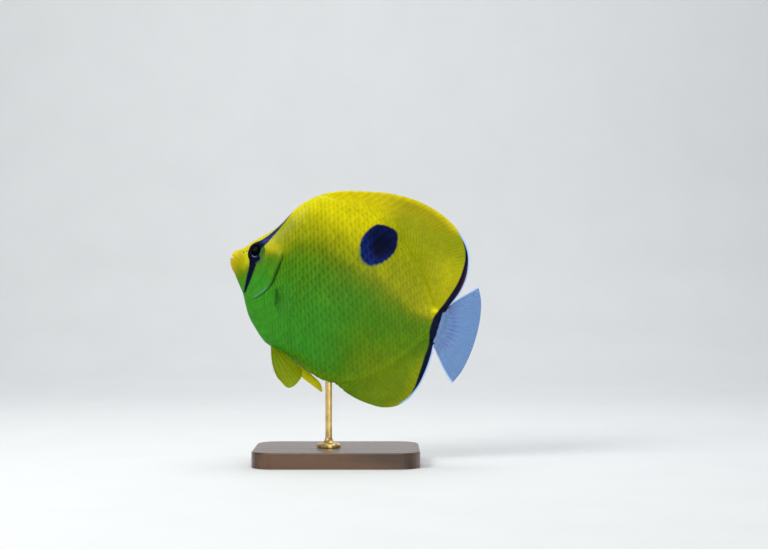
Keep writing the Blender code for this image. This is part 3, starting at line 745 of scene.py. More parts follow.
def past_gill(along, turn):
    """How far behind the gill slit a place of the body lies, by the skin's own rings."""
    shift = np.interp(turn, RING_TURNS, SLIT_SHIFT)
    station = along
    for _ in range(12):
        station = along - shift * warp_share(station)
    return station - GILL_AT


def place_turn(along, height):
    """The turn on the body's ring at a place."""
    widest = sections(along)[..., 1]
    edge = np.where(height > widest, back_line(along) - widest, widest - belly_line(along))
    return np.arcsin(np.clip((height - widest) / edge, -1, 1)) * 2 / math.pi


def flank(along, turn, past):
    """A place of the fish's skin on the side where Y is positive."""
    height = ring_height(along, turn)
    half = half_width(along, height)
    relief = head_relief(along, height, past) * smooth(0.0, 2.5, half)
    return stack(along, half + relief, height)


def place_stations():
    """Where the skin's rings lie along the body: close on the head and at the gill slit."""
    front = np.linspace(BODY_SPAN[0], GILL_AT - 0.35, 84)
    slit = GILL_AT + np.array([-0.2, -0.08, -0.02, 0.02, 0.08, 0.2])
    middle = np.linspace(GILL_AT + 0.5, 50, 36)
    return np.concatenate([front, slit, middle, np.linspace(50.8, BODY_SPAN[1], 96)])


def skin_points():
    """The skin as rings of points, warped so that one ring runs along the gill slit."""
    station = place_stations()[:, None]
    turn = RING_TURNS[None, :]
    along = np.clip(station + SLIT_SHIFT * warp_share(station), *BODY_SPAN)
    past = np.broadcast_to(station - GILL_AT, along.shape)
    points = flank(along, turn, past)
    low, high = GILL_SPAN
    fade = window(points[..., 2], low, low + 4, high - 4, high)
    ahead = smooth(-1.0, 0, past) * (past < 0)
    points[..., 0] += 0.5 * fade * (ahead - bell(past, 0.5) * (past > 0))
    return points


def ring_faces(total, count):
    """Quads between closed rings of count points each, and a cap on either end."""
    j = np.arange(count)
    k = (j + 1) % count
    corners = np.stack([j, k, k + count, j + count], -1)
    quads = corners[None] + (np.arange(total - 1) * count)[:, None, None]
    return [quads.reshape(-1, 4), j[None, ::-1], j[None, :] + (total - 1) * count]


def skin_shell():
    """A closed skin: right and left flank share their points at the back and the belly."""
    right = skin_points()
    right[:, 0, 1] = 0.0
    right[:, -1, 1] = 0.0
    left = right[:, -2:0:-1] * np.array([1, -1, 1])
    rings = np.concatenate([right, left], axis=1)
    return rings.reshape(-1, 3), ring_faces(*rings.shape[:2])


def outward(mesh):
    """The mesh with its faces turned outwards."""
    shape = bmesh.new()
    shape.from_mesh(mesh)
    bmesh.ops.recalc_face_normals(shape, faces=shape.faces)
    shape.to_mesh(mesh)
    shape.free()
    return mesh


def combined(base, others, operation):
    """base after one exact Boolean with each of the other meshes, as a new mesh."""
    target = new_object("target", base)
    helpers = []
    for other in others:
        helper = new_object("helper", other)
        helpers.append(helper)
        modifier = target.modifiers.new("step", "BOOLEAN")
        modifier.operation = operation
        modifier.object = helper
        modifier.solver = "EXACT"
    bpy.context.view_layer.update()
    graph = bpy.context.evaluated_depsgraph_get()
    mesh = bpy.data.meshes.new_from_object(target.evaluated_get(graph))
    for old in [target, *helpers]:
        bpy.data.objects.remove(old)
    return mesh


def ellipsoid(centre, radii, segments, rings, turn=None):
    shape = bmesh.new()
    bmesh.ops.create_uvsphere(shape, u_segments=segments, v_segments=rings, radius=1.0)
    points = np.array([corner.co for corner in shape.verts]) * radii
    if turn is not None:
        points = points @ turn.T
    for corner, point in zip(shape.verts, to_world(points + centre)):
        corner.co = point
    mesh = bpy.data.meshes.new("ellipsoid")
    shape.to_mesh(mesh)
    shape.free()
    return mesh


def prism(outline, half):
    """A flat outline of (along, height) points drawn out to both sides, as a closed mesh."""
    flat = np.array(outline, float)
    count = len(flat)
    points = np.concatenate([stack(flat[:, 0], side * half, flat[:, 1]) for side in (-1, 1)])
    j = np.arange(count)
    k = (j + 1) % count
    faces = [j[None, :], j[None, ::-1] + count, np.stack([j, k, k + count, j + count], -1)]
    return outward(make_mesh("prism", to_world(points), faces))


def tube(path, radii):
    """A closed round tube along points in the fish's frame."""
    along = np.gradient(path, axis=0)
    along /= np.linalg.norm(along, axis=1)[:, None]
    side = np.cross(along, np.array([0.0, 0.0, 1.0]))
    side /= np.linalg.norm(side, axis=1)[:, None]
    rise = np.cross(side, along)
    angle = np.linspace(0, 2 * math.pi, TUBE_SIDES, endpoint=False)[None, :, None]
    ring = np.cos(angle) * side[:, None] + np.sin(angle) * rise[:, None]
    points = (path[:, None] + ring * radii[:, None, None]).reshape(-1, 3)
    return outward(make_mesh("tube", to_world(points), ring_faces(len(path), TUBE_SIDES)))


def lip(front, corner):
    """A lip round the mouth, from corner to corner."""
    turn = np.linspace(-1, 1, 41)
    reach, back = np.sin(turn * math.pi / 2), 1 - np.cos(turn * math.pi / 2)
    start, end = np.array(front), np.array(corner)
    path = start[None, :] + (end - start)[None, :] * back[:, None]
    return tube(stack(path[:, 0], LIP_HALF * reach, path[:, 1]), LIP_RADIUS * (1 - 0.45 * back))


def on_flank(side, x, z):
    return np.array([x, side * float(half_width(x, z)), z])


def eye_ball(side, margin, segments, rings):
    """The eyeball, or a ball larger by margin, set square to the face around it."""
    x, z = EYE_AT
    reach = 3.0
    slope_x = float(half_width(x + reach, z) - half_width(x - reach, z)) / (2 * reach)
    slope_z = float(half_width(x, z + reach) - half_width(x, z - reach)) / (2 * reach)
    facing = Vector((-slope_x, side, -slope_z)).normalized()
    turn = Vector((0, side, 0)).rotation_difference(facing).to_matrix()
    centre = on_flank(side, x, z) - EYE_SINK * np.array(facing)
    radii = np.array(EYE_RADII) + margin
    return ellipsoid(centre, radii, segments, rings, np.array(turn))


def soften(mesh, reach, rounds):
    """Rounds off the creases that the lips and the nostrils leave, ahead of reach."""
    shape = bmesh.new()
    shape.from_mesh(mesh)
    shape.verts.ensure_lookup_table()
    along = to_fish(np.array([corner.co for corner in shape.verts]))[:, 0]
    near = [corner for corner, x in zip(shape.verts, along) if x < reach]
    for _ in range(rounds):
        bmesh.ops.smooth_vert(
            shape, verts=near, factor=0.5, use_axis_x=True, use_axis_y=True, use_axis_z=True
        )
    shape.to_mesh(mesh)
    shape.free()


def build_skin(material):
    """One skin from snout to tail, with lips, an open mouth, nostrils and hollows for the eyes."""
    points, faces = skin_shell()
    mesh = outward(make_mesh("skin", to_world(points), faces))
    mesh = combined(mesh, [lip(*UPPER_LIP), lip(*LOWER_LIP)], "UNION")
    cuts = [prism(MOUTH_CLEFT, 8.0)]
    for side in (-1, 1):
        cuts.append(eye_ball(side, 0.1, 64, 40))
        cuts.extend(ellipsoid(on_flank(side, x, z), NOSTRIL_RADII, 16, 10) for x, z in NOSTRILS)
    mesh = combined(mesh, cuts, "DIFFERENCE")
    soften(mesh, 6.0, 3)
    along, _, height = fish_places(mesh).T
    past = past_gill(np.clip(along, *BODY_SPAN), place_turn(along, height))
    store_values(mesh, markings(along, height, past=past))
    return add_piece("skin", mesh, material, "skin", "head", "torso", "tail_base")


# Fins: place() gives the middle surface, thickness() its half thickness.


def key_curve(key_rays, rays):
    """A fin's key rays as a smooth function of the ray's number."""
    share = np.linspace(0, rays - 1, len(key_rays))
    return curve_through([(t, *row) for t, row in zip(share, key_rays)])


tail_keys = key_curve(TAIL_RAYS, TAIL_SOFT_RAYS)


def tail_place(ray, out):
    ray, out = np.broadcast_arrays(ray, out)
    root_z, tip_x, tip_z, bow = np.moveaxis(tail_keys(ray), -1, 0)
    start = BODY_SPAN[1] - TAIL_SINK
    x = start + (tip_x - start) * out
    z = root_z + (tip_z - root_z) * out + bow * 4 * out * (1 - out)
    reach = max(row[1] for row in TAIL_RAYS) - BODY_SPAN[1]
    swing = TAIL_SWING * np.clip((x - BODY_SPAN[1]) / reach, 0, 1) ** 2
    swing = swing + TAIL_ASIDE * smooth(0, 2, x - BODY_SPAN[1])
    return stack(x, swing, z)


def pelvic_place(side, tips):
    (first_x, first_y), (last_x, last_y) = PELVIC_ROOT
    rays = len(tips)
    keys = curve_through([(t, *tip) for t, tip in enumerate(tips)])

    def place(ray, out):
        ray, out = np.broadcast_arrays(ray, out)
        share = ray / (rays - 1)
        x = first_x + (last_x - first_x) * share
        y = first_y + (last_y - first_y) * share
        root = stack(x, side * y, belly_line(x) + 1.0)
        tip = keys(ray) * np.array([1, side, 1])
        bow = 4 * out * (1 - out)
        bulge = (bow * (1 - share))[..., None] * np.array([-0.9, side * 0.6, -1.6])
        bulge[..., 2] += 1.2 * bow * share**2
        point = root + (tip - root) * out[..., None] + bulge
        low = belly_line(point[..., 0])
        least = half_width(point[..., 0], np.maximum(point[..., 2], low)) + 0.9 * smooth(0, 0.12, out)
        near = (low - 1.0 < point[..., 2]) & (point[..., 1] * side < least) & (out > 0.08)
        point[..., 1] = np.where(near, side * least, point[..., 1])
        return point

    return place


def pectoral_place(side):
    upper, lower = (np.array([x, 0.0, z]) for x, z in PECTORAL_ROOT)
    down = (lower - upper) / np.linalg.norm(lower - upper)
    last = PECTORAL_RAYS - 1.0
    shape = curve_through(PECTORAL_SHAPE)
    away = np.array([math.cos(PECTORAL_SPLAY), side * math.sin(PECTORAL_SPLAY), 0.0])

    def place(ray, out):
        ray, out = np.broadcast_arrays(ray, out)
        share = (ray / last)[..., None]
        root = upper + (lower - upper) * share
        root[..., 1] = side * (half_width(root[..., 0], root[..., 2]) - 0.4)
        fan = PECTORAL_FAN[0] + (PECTORAL_FAN[1] - PECTORAL_FAN[0]) * share
        length = PECTORAL_LENGTH * shape(ray)[..., None]
        heading = away * np.cos(fan) - down * np.sin(fan)
        cup = np.array([PECTORAL_CUP, 0, 0]) * (out**2)[..., None]
        return root + heading * length * out[..., None] + cup

    return place


def ray_ridges(ray, out, branching, wide=1.0):
    """1 on a fin ray and 0 between rays. Soft rays part in two on their way out."""
    off = ray - np.round(ray)
    first = bell(off, 0.20 * wide)
    spread = 0.23 * smooth(0.25, 0.7, out)
    two = np.maximum(bell(off - spread, 0.13 * wide), bell(off + spread, 0.13 * wide))
    part = smooth(0.25, 0.45, out) * branching
    return first * (1 - part) + two * part


def blade(web, ridge, out):
    """Half a fin's thickness away from its root, from web and ridge, thinner on its way out."""
    return (web + ridge) * (1 - 0.5 * out) + 0.02


def swollen(thin, root, share):
    """thin, swelling to the half thickness root where share goes to 1."""
    return thin + np.maximum(root - thin, 0) * share


def sheet_faces(many, few):
    """Both faces and the wall of a closed sheet over a grid of many by few points."""
    size = many * few
    index = np.arange(size).reshape(many, few)
    quads = np.stack([index[:-1, :-1], index[:-1, 1:], index[1:, 1:], index[1:, :-1]], -1)
    quads = quads.reshape(-1, 4)
    rim = np.concatenate([index[0, :], index[1:, -1], index[-1, -2::-1], index[-2:0:-1, 0]])
    after = np.roll(rim, -1)
    wall = np.stack([rim, rim + size, after + size, after], -1)
    return [np.concatenate([quads, quads[:, ::-1] + size, wall])]


def fin_side(place, ray, out):
    """Steps of length 1 square to a fin's middle surface."""
    step = 1e-3
    across = place(ray + step, out) - place(ray - step, out)
    upward = place(ray, np.minimum(out + step, 1)) - place(ray, np.maximum(out - step, 0))
    side = np.cross(across, upward)
    return side / np.linalg.norm(side, axis=-1)[..., None]


def fin_piece(name, place, grid, thickness, values, material, slot, *nodes, sunk=None):
    """A closed fin. grid has its last ray, the steps from ray to ray and the rows outwards.

    sunk(ray) is the share of a ray inside the body.
    """
    last, steps, rows = grid
    ray, out = np.meshgrid(np.linspace(0, last, last * steps + 1), rows, indexing="ij")
    if sunk is not None:
        out = out - sunk(ray) * (1 - out)
    middle = place(ray, out)
    offset = fin_side(place, ray, out) * thickness(ray, out)[..., None]
    points = np.concatenate([(middle - offset).reshape(-1, 3), (middle + offset).reshape(-1, 3)])
    found = values(ray.ravel(), out.ravel(), middle.reshape(-1, 3))
    doubled = {key: np.tile(np.broadcast_to(value, ray.size), 2) for key, value in found.items()}
    mesh = outward(make_mesh(name, to_world(points), sheet_faces(*ray.shape), doubled))
    mesh.set_sharp_from_angle(angle=math.radians(60))
    return add_piece(name, mesh, material, slot, *nodes)


def fin_root(along, height, sign, thin):
    """The half thickness where a fin grows out of the body in one smooth flow."""
    along = np.minimum(along, BODY_SPAN[1])
    width, widest, crest_up, crest_down, lean_up, lean_down = np.moveaxis(sections(along), -1, 0)
    edge, crest, lean, first = belly_line(along), crest_down, lean_down, ANAL_FROM
    blend = ROOT_BLEND + REAR_BLEND
    if sign > 0:
        edge, crest, lean, first = back_line(along), crest_up, lean_up, DORSAL_FROM
        blend = ROOT_BLEND + REAR_BLEND * smooth(98, 116, along)
    share = np.clip((height - widest) / (edge - widest), 0, 1)
    over = sign * (height - edge)
    full = crest + (width - crest) * (1 - share**2) ** (lean / 2) - 0.35 * np.clip(over, 0, None)
    both = 0.5 * (full + thin + np.sqrt((full - thin) ** 2 + blend**2))
    both = full + (both - full) * smooth(-FIN_SINK, -1.5, over)
    plain = np.maximum(full - 0.3 - 2.5 * np.clip(over, 0, None), thin)
    return plain + (both - plain) * smooth(first - 2, first + ROOT_FADE, along)


class UnpairedFin:
    """The dorsal or the anal fin. A place on it is given by its ray and its share of the way outwards."""

    def __init__(self, key_rays, line, sign, spines, soft_rays, first):
        self.rays = spines + soft_rays
        self.keys = key_curve(key_rays, self.rays)
        self.line, self.sign, self.spines, self.first = line, sign, spines, first
        self.fine = np.linspace(0, self.rays - 1, self.rays * 6)
        self.base, self.way = self.root_and_way(self.fine)

    def root_and_way(self, ray):
        root, tip_x, tip_z = np.moveaxis(self.keys(ray), -1, 0)
        base = np.stack([root, self.line(root)], -1)
        return base, np.stack([tip_x, tip_z], -1) - base

    def length(self, ray):
        return np.linalg.norm(self.root_and_way(ray)[1], axis=-1)

    def soft(self, ray):
        return smooth(self.spines - 1.0, self.spines - 0.2, ray)

    def place(self, ray, out):
        """The fin's middle surface."""
        ray, out = np.broadcast_arrays(ray, out)
        base, way = self.root_and_way(ray)
        notch = SPINE_NOTCH * smooth(self.spines, self.spines - 3, ray) * np.sin(math.pi * ray) ** 2
        share = out * np.where(out > 0, 1 - notch / np.linalg.norm(way, axis=-1), 1)
        flat = base + way * share[..., None]
        sway = FIN_WAVE * np.sin(FIN_WAVES * math.pi * ray / self.rays) * np.clip(out, 0, 1) ** 2
        return stack(flat[..., 0], sway, flat[..., 1])

    def thickness(self, ray, out):
        """Half the thickness, from the rays' ridges to the flow into the body."""
        free = smooth(0.25, 0.7, out)
        ridge = ray_ridges(ray, out, self.soft(ray)) * (0.25 + 0.75 * free)
        high = SPINE_RIDGE + (FIN_THICK[1] - SPINE_RIDGE) * self.soft(ray)
        thin = blade(FIN_THICK[0], high * ridge, np.clip(out, 0, 1))
        along, _, height = np.moveaxis(self.place(ray, out), -1, 0)
        over = self.sign * (height - self.line(np.minimum(along, BODY_SPAN[1])))
        return fin_root(along, height, self.sign, thin) - 0.4 * smooth(-4.5, -FIN_SINK, over)

    def find(self, along, height):
        """The ray and the share outwards at places of the fin."""
        flat = np.stack([np.ravel(along), np.ravel(height)], -1)
        found = [self.find_block(block) for block in np.array_split(flat, max(1, len(flat) // 4000))]
        ray, out = np.concatenate(found, axis=1)
        return ray.reshape(np.shape(along)), out.reshape(np.shape(along))

    def find_block(self, block):
        rest = block[:, None] - self.base
        side = self.sign * (rest[..., 0] * self.way[:, 1] - rest[..., 1] * self.way[:, 0])
        last = np.clip((side > 0).sum(1) - 1, 0, len(self.fine) - 2)
        row = np.arange(len(block))
        here, there = side[row, last], side[row, last + 1]
        share = np.clip(here / np.where(here == there, 1, here - there), 0, 1)[:, None]
        ray = self.fine[last] + share[:, 0] * (self.fine[1] - self.fine[0])
        origin = self.base[last] * (1 - share) + self.base[last + 1] * share
        heading = self.way[last] * (1 - share) + self.way[last + 1] * share
        out = ((block - origin) * heading).sum(-1) / (heading**2).sum(-1)
        return np.stack([ray, out])

    def face(self, along, height, side):
        """Places on one of the fin's two faces."""
        ray, out = self.find(along, height)
        out = np.clip(out, -0.4, 0.94)
        point = self.place(ray, out)
        point[..., 1] += side * self.thickness(ray, out)
        return point

    def sunk(self, ray):
        """The share of a ray's length that lies inside the body."""
        return FIN_SINK / self.length(ray)

    def build(self, name, rim_rays, material, *nodes):
        def values(ray, out, middle):
            found = markings(middle[:, 0], middle[:, 2])
            length = self.length(ray)
            away = (1 - out) * length
            rim = window(ray, *rim_rays)
            # Painted light along the top: the dorsal fin's margin outside the blue rim is painted yellow
            # and brighter.
            pale = (self.sign > 0) * (1 - rim) * (away < length)
            found["ridge"] = ray_ridges(ray, out, self.soft(ray))
            found["rim_blue"] = smooth(1.0, 0.7, away) * rim
            red = bell(middle[:, 2] - RED_AT[0], RED_AT[1]) * smooth(2.8, 1.2, away)
            found["red"] = found["dark"] * red
            found["tone"] = found["tone"] * (1 - 0.8 * smooth(5, 1, away) * pale)
            found["glow"] = 0.6 * smooth(2.4, 0.3, away) * pale * smooth(3, 6, length)
            return found

        grid = (self.rays - 1, 10, 1 - (1 - np.linspace(0, 1, 80)) ** 1.2)
        looks = (values, material, "fin", *nodes)
        fin_piece(name, self.place, grid, self.thickness, *looks, sunk=self.sunk)


def clear_fin_material():
    """See-through blue membrane and paler rays, jointed like a bamboo cane."""
    graph = Graph("clear_fin_paint")
    ridge = graph.value("ridge")
    mottle = graph.noise(graph.place(), 0.4, 3)
    colour = graph.layers(
        graph.mix(ridge, TAIL_WEB, TAIL_RAY), ("arc", VIOLET),
        (graph.ramp(mottle, 0.55, 0.75, 0.0, 0.35), LILAC), ("root", ROOT_BLUE), ("edge", EDGE_BLUE),
        ("joint", JOINT_BLUE), ("dark", INK),
    )
    alpha = graph.plus(graph.ramp(ridge, 0, 1, 0.64, 0.84), graph.ramp(mottle, 0.3, 0.7, -0.05, 0.05))
    alpha = graph.math("MAXIMUM", alpha, graph.value("solid"))
    graph.set(base_color=colour, alpha=alpha, roughness=0.35, specular_ior_level=0.2)
    return graph.material


def pectoral_material():
    """A nearly clear membrane with greenish rays, painted like the body at its root."""
    graph = Graph("pectoral_paint")
    ridge = graph.value("ridge")
    root = painted(graph, graph.ramp(ridge, 0, 1, 0.85, 1.0))
    colour = graph.layers(graph.mix(ridge, PECTORAL_WEB, PECTORAL_RAY), ("solid", root))
    alpha = graph.times(graph.ramp(ridge, 0, 1, 0.05, 0.24), graph.value("near"))
    alpha = graph.math("MAXIMUM", alpha, graph.value("solid"))
    graph.set(base_color=colour, alpha=alpha, roughness=0.6, specular_ior_level=0.0)
    return graph.material


def build_tail_fin(material):
    def thickness(ray, out):
        thin = blade(TAIL_THICK[0], TAIL_THICK[1] * ray_ridges(ray, out, 1.0, 0.7), out)
        root = 0.95 * half_width(BODY_SPAN[1], tail_keys(ray)[..., 0])
        return swollen(thin, root, smooth(0.30, 0.03, out) ** 1.2)

    def values(ray, out, middle):
        edge = smooth(0.45, 0.1, ray) + smooth(TAIL_SOFT_RAYS - 1.45, TAIL_SOFT_RAYS - 1.1, ray)
        inner = 1 - np.clip(edge, 0, 1)
        ridge = ray_ridges(ray, out, 1.0, 0.7)
        x, z = middle[:, 0], middle[:, 2]
        radius = np.hypot(x - TAIL_ARC[0], z)
        joint = smooth(0.75, 1.0, np.cos(2 * math.pi * radius / TAIL_JOINT))
        return {
            "ridge": np.clip(ridge + edge, 0, 1),
            "arc": 0.6 * bell(radius - TAIL_ARC[1], TAIL_ARC[2]),
            "root": smooth(131.5, 127.5, x),
            "dark": smooth(0.2, -0.2, x - band_end(z)),
            "edge": np.clip(edge, 0, 1) * smooth(0.05, 0.4, out),
            "solid": smooth(132, 127, x) + 0.8 * edge,
            "joint": 0.5 * joint * ridge * inner * smooth(0.15, 0.3, out),
        }

    grid = (TAIL_SOFT_RAYS - 1, 12, np.linspace(0, 1, 110))
    fin_piece("tail_fin_rays", tail_place, grid, thickness, values, material, "clear_fin", "tail_fin")


UNMARKED = dict.fromkeys(
    ("face", "dark", "navy", "halo", "red", "rim_blue", "line", "shadow", "glow"), 0
)


def build_pelvic_fin(side, name, tips, material, node):
    last = len(tips) - 1

    def thickness(ray, out):
        spine = smooth(0.6, 0.3, ray)
        high = PELVIC_THICK[1] + PELVIC_SPINE * spine
        thin = blade(PELVIC_THICK[0], high * ray_ridges(ray, out, 1 - spine), out)
        return swollen(thin, 0.9, smooth(0.25, 0, out) ** 1.5)

    def values(ray, out, middle):
        # Painted light: the far fin is painted yellow and bright, most at its leading ray; the near one
        # takes the painted olive green.
        tone, glow = (0.10, 1.3 - 0.4 * ray / last) if side > 0 else (0.50 - 0.1 * out, 0)
        return UNMARKED | {"tone": tone, "glow": glow, "ridge": ray_ridges(ray, out, 1.0)}

    grid = (last, 14, np.linspace(0, 1, 48))
    fin_piece(name, pelvic_place(side, tips), grid, thickness, values, material, "fin", node)


def build_pectoral_fin(side, name, material, node):
    def thickness(ray, out):
        thin = blade(PECTORAL_THICK[0], PECTORAL_THICK[1] * ray_ridges(ray, out, 1.0), out)
        return swollen(thin, 0.7, smooth(0.2, 0, out) ** 1.5)

    def values(ray, out, middle):
        found = markings(middle[:, 0], middle[:, 2])
        found["ridge"] = ray_ridges(ray, out, 1.0)
        found["solid"] = smooth(0.16, 0.02, out)
        found["near"] = 1 - 0.6 * out
        return found

    grid = (PECTORAL_RAYS - 1, 8, np.linspace(0, 1, 40))
    fin_piece(name, pectoral_place(side), grid, thickness, values, material, "clear_fin", node)


def build_fins(fin, clear, pectoral):
    dorsal = UnpairedFin(DORSAL_RAYS, back_line, 1, DORSAL_SPINES, DORSAL_SOFT_RAYS, DORSAL_FROM)
    anal = UnpairedFin(ANAL_RAYS, belly_line, -1, ANAL_SPINES, ANAL_SOFT_RAYS, ANAL_FROM)
    dorsal.build("dorsal_fin", DORSAL_RIM, fin, "dorsal_fin_spiny", "dorsal_fin_soft")
    anal.build("anal_fin_rays", ANAL_RIM, fin, "anal_fin")
    build_tail_fin(clear)
    build_pelvic_fin(-1, "pelvic_left_rays", PELVIC_LEFT_TIPS, fin, "pelvic_fin_left")
    build_pelvic_fin(1, "pelvic_right_rays", PELVIC_RIGHT_TIPS, fin, "pelvic_fin_right")
    build_pectoral_fin(-1, "pectoral_left_rays", pectoral, "pectoral_fin_left")
    build_pectoral_fin(1, "pectoral_right_rays", pectoral, "pectoral_fin_right")
    return dorsal, anal


# Scales. Those of the body and the head lie in a lattice of slanting columns and of rows that draw
# together towards the tail. up is the distance over the skin from the widest line of the flank; past
# the back or the belly it goes on up the fin there, or else down the other side.
SLANT = math.tan(math.radians(20))
COLUMN_PITCH = [(0, 1.5), (25, 1.8), (38, 2.2), (50, 2.5), (85, 2.5), (105, 2.15), (125, 1.7), (150, 1.3)]
ROW_PITCH = [(10, 3.0), (30, 4.4), (45, 5.2), (80, 5.2), (100, 4.4), (115, 3.2), (127, 2.4), (140, 2.1)]
HEAD_COLUMN_PITCH = [(0, 1.2), (20, 1.35), (40, 1.6)]
HEAD_ROW_PITCH = [(0, 2.0), (20, 2.5), (40, 3.0)]
EDGE_REACH = 14.0
EDGE_SHRINK = 0.030
LEAST_ROW = 1.6
UP_STEP = 0.25
UPS = np.arange(-84, 84, UP_STEP)
ALONGS = np.arange(0.5, 137, 0.5)
TURN_HALF = 400
SLANTED_STEP = 0.25
SLANTED = np.arange(-60, 220, SLANTED_STEP)
FIN_PITCH = 1.65
FIN_ROW = 2.0
FIN_START = -2.2
# The share of a spine and of a soft ray that scales cover.
FIN_COVER = (0.40, 0.68)
# Steps along and across one scale, and how far the scales stand up.
BODY_PLATE = (6, 9)
SMALL_PLATE = (4, 6)
BODY_LIFT = 0.34
HEAD_LIFT = 0.16
FIN_LIFT = 0.22
# A scale's length in columns, half its height in rows, how far its corners fall back, and its
# height at the root as a share.
PLATE_LONG = 2.2
PLATE_HALF = 0.66
PLATE_ROUND = 0.42
PLATE_NECK = 0.72
# The smallest size of a scale, and how far sizes and headings spread at random.
PLATE_SIZE = 0.96
PLATE_SPREAD = 0.1
# How deep a scale's root and its underside lie in the surface.
PLATE_ROOT = 0.1
PLATE_UNDER = 0.15
# How much of one colour a scale on the round spot's edge keeps.
SPOT_BLEND = 0.12
KEEL_PITCH = 1.7
KEEL_TALL = 2.1
KEEL_ROWS = (0.1, 1.3, 2.5)
# From where to where the rows run along the back and along the belly.
KEEL_SPANS = {1: (14.0, 42.0), -1: (14.0, 34.0)}
# Scales stop short of the corners between the tail's root and the fins: from this place along, and
# this near the edge.
TAIL_CORNER = (121.5, -1.6)
# They leave room where the anal fin starts: a place along, to both sides of it, near the edge.
ANAL_ROOM = (77.0, 3.5, 1.3)
# The unwrap's width and height in millimetres, and one scale's patch on it as a share.
COAT_MAP = (290, 170)
COAT_PATCH = 0.003


def table_at(table, along, up):
    """A value from a table over ALONGS and UPS."""
    x = np.clip((along - ALONGS[0]) / (ALONGS[1] - ALONGS[0]), 0, len(ALONGS) - 1.001)
    y = np.clip((up - UPS[0]) / UP_STEP, 0, len(UPS) - 1.001)
    i, j = x.astype(int), y.astype(int)
    u, v = x - i, y - j
    low = table[i, j] * (1 - v) + table[i, j + 1] * v
    high = table[i + 1, j] * (1 - v) + table[i + 1, j + 1] * v
    return low * (1 - u) + high * u


def outer_half(along, height):
    """Half the thickness at a place of the flank, with the flow into the fins."""
    half = half_width(along, height)
    for sign, first in ((1, DORSAL_FROM), (-1, ANAL_FROM)):
        filled = fin_root(along, height, sign, 0.3)
        middle = sections(along)[..., 1]
        on = (along > first) & (sign * (height - middle) > 0)
        half = np.where(on, np.maximum(half, filled), half)
    return half


def turn_table():
    """The turn on the body's ring for each place of ALONGS and UPS, and the reach of up there."""
    turn = np.sin(np.linspace(-1, 1, 2 * TURN_HALF + 1) * math.pi / 2)
    along = np.minimum(ALONGS, BODY_SPAN[1])[:, None]
    height = ring_height(along, turn[None, :])
    step = np.hypot(np.diff(height), np.diff(outer_half(along, height)))
    up = np.concatenate([np.zeros((len(along), 1)), np.cumsum(step, axis=1)], axis=1)
    up -= up[:, TURN_HALF:TURN_HALF + 1]
    far = np.concatenate([-2 - turn[-2::-1], turn, 2 - turn[-2::-1]])
    rows = []
    for row in up:
        reach = np.concatenate([2 * row[0] - row[-1:0:-1], row, 2 * row[-1] - row[-2::-1]])
        rows.append(np.interp(UPS, reach, far))
    return np.array(rows), {1: up[:, -1], -1: up[:, 0]}


TURNS, EDGE_UP = turn_table()


def edge_up(along, sign):
    """Where the back or the belly lies, as a distance up."""
    return np.interp(along, ALONGS, EDGE_UP[sign])


def body_point(along, up, side, fins, under_flap):
    """Places of the skin, or of the fin that it runs on to, past the back or the belly."""
    along = np.clip(along, ALONGS[0], ALONGS[-1])
    body_along = np.minimum(along, BODY_SPAN[1])
    for fin in fins:
        room = 0.75 * np.clip(np.maximum(fin.first - 3 - along, along - fin.first - 1), 0, None)
        furthest = edge_up(along, fin.sign) + fin.sign * room
        up = np.where(fin.sign * (up - furthest) > 0, furthest, up)
    turn = table_at(TURNS, body_along, up)
    wrapped = np.abs(turn) > 1
    inner = np.clip(np.where(wrapped, np.sign(turn) * 2 - turn, turn), -1, 1)
    past = past_gill(body_along, inner)
    if under_flap:
        past = np.maximum(past, 0.01)
    point = flank(body_along, inner, past)
    point[..., 1] = np.maximum(point[..., 1], outer_half(body_along, point[..., 2]) * (body_along > 33))
    point[..., 1] *= np.where(wrapped, -side, side)
    for fin in fins:
        over = up - edge_up(along, fin.sign)
        on = (fin.sign * over > 0) & (along > fin.first)
        height = fin.line(body_along[on]) + over[on]
        point[on] = fin.face(along[on], height, side)
    return point


def row_tables(rows):
    """Tables of the row number and of the row's height over ALONGS and UPS."""
    tall = np.broadcast_to(curve_through(rows)(ALONGS)[:, None], (len(ALONGS), len(UPS)))
    over = np.maximum(UPS[None, :] - EDGE_UP[1][:, None], EDGE_UP[-1][:, None] - UPS[None, :])
    over = np.clip(over + EDGE_REACH, 0, EDGE_REACH + 6)
    tall = np.maximum(tall * (1 - EDGE_SHRINK * over), LEAST_ROW)
    row = np.cumsum(UP_STEP / tall, axis=1)
    middle = len(UPS) // 2
    return row - row[:, middle:middle + 1], tall


def lattice_places(columns, rows):
    """Where the lattice puts its scales: along, up, column pitch and row pitch."""
    row, tall = row_tables(rows)
    pitch = curve_through(columns)(SLANTED)
    count = np.cumsum(SLANTED_STEP / pitch)
    first = int(np.interp(SLANT * UPS[0], SLANTED, count))
    last = int(np.interp(ALONGS[-1] + SLANT * UPS[-1], SLANTED, count))
    found = []
    for number in range(first, last + 1):
        slanted = np.interp(number, count, SLANTED)
        along = slanted - SLANT * UPS
        on = (along > ALONGS[0]) & (along < ALONGS[-1])
        if on.sum() < 2:
            continue
        level = table_at(row, along, UPS)
        low, high = math.ceil(level[on].min()), math.floor(level[on].max())
        wanted = np.arange(low, high + 1) + 0.5 * (number % 2)
        up = np.interp(wanted, level[on], UPS[on])
        where = slanted - SLANT * up
        wide = np.full_like(up, np.interp(slanted, SLANTED, pitch))
        found.append(np.stack([where, up, wide, table_at(tall, where, up), np.zeros_like(up)], -1))
    return np.concatenate(found)


def within(places):
    along, up = places[:, 0], places[:, 1]
    return (up < edge_up(along, 1)) & (up > edge_up(along, -1))


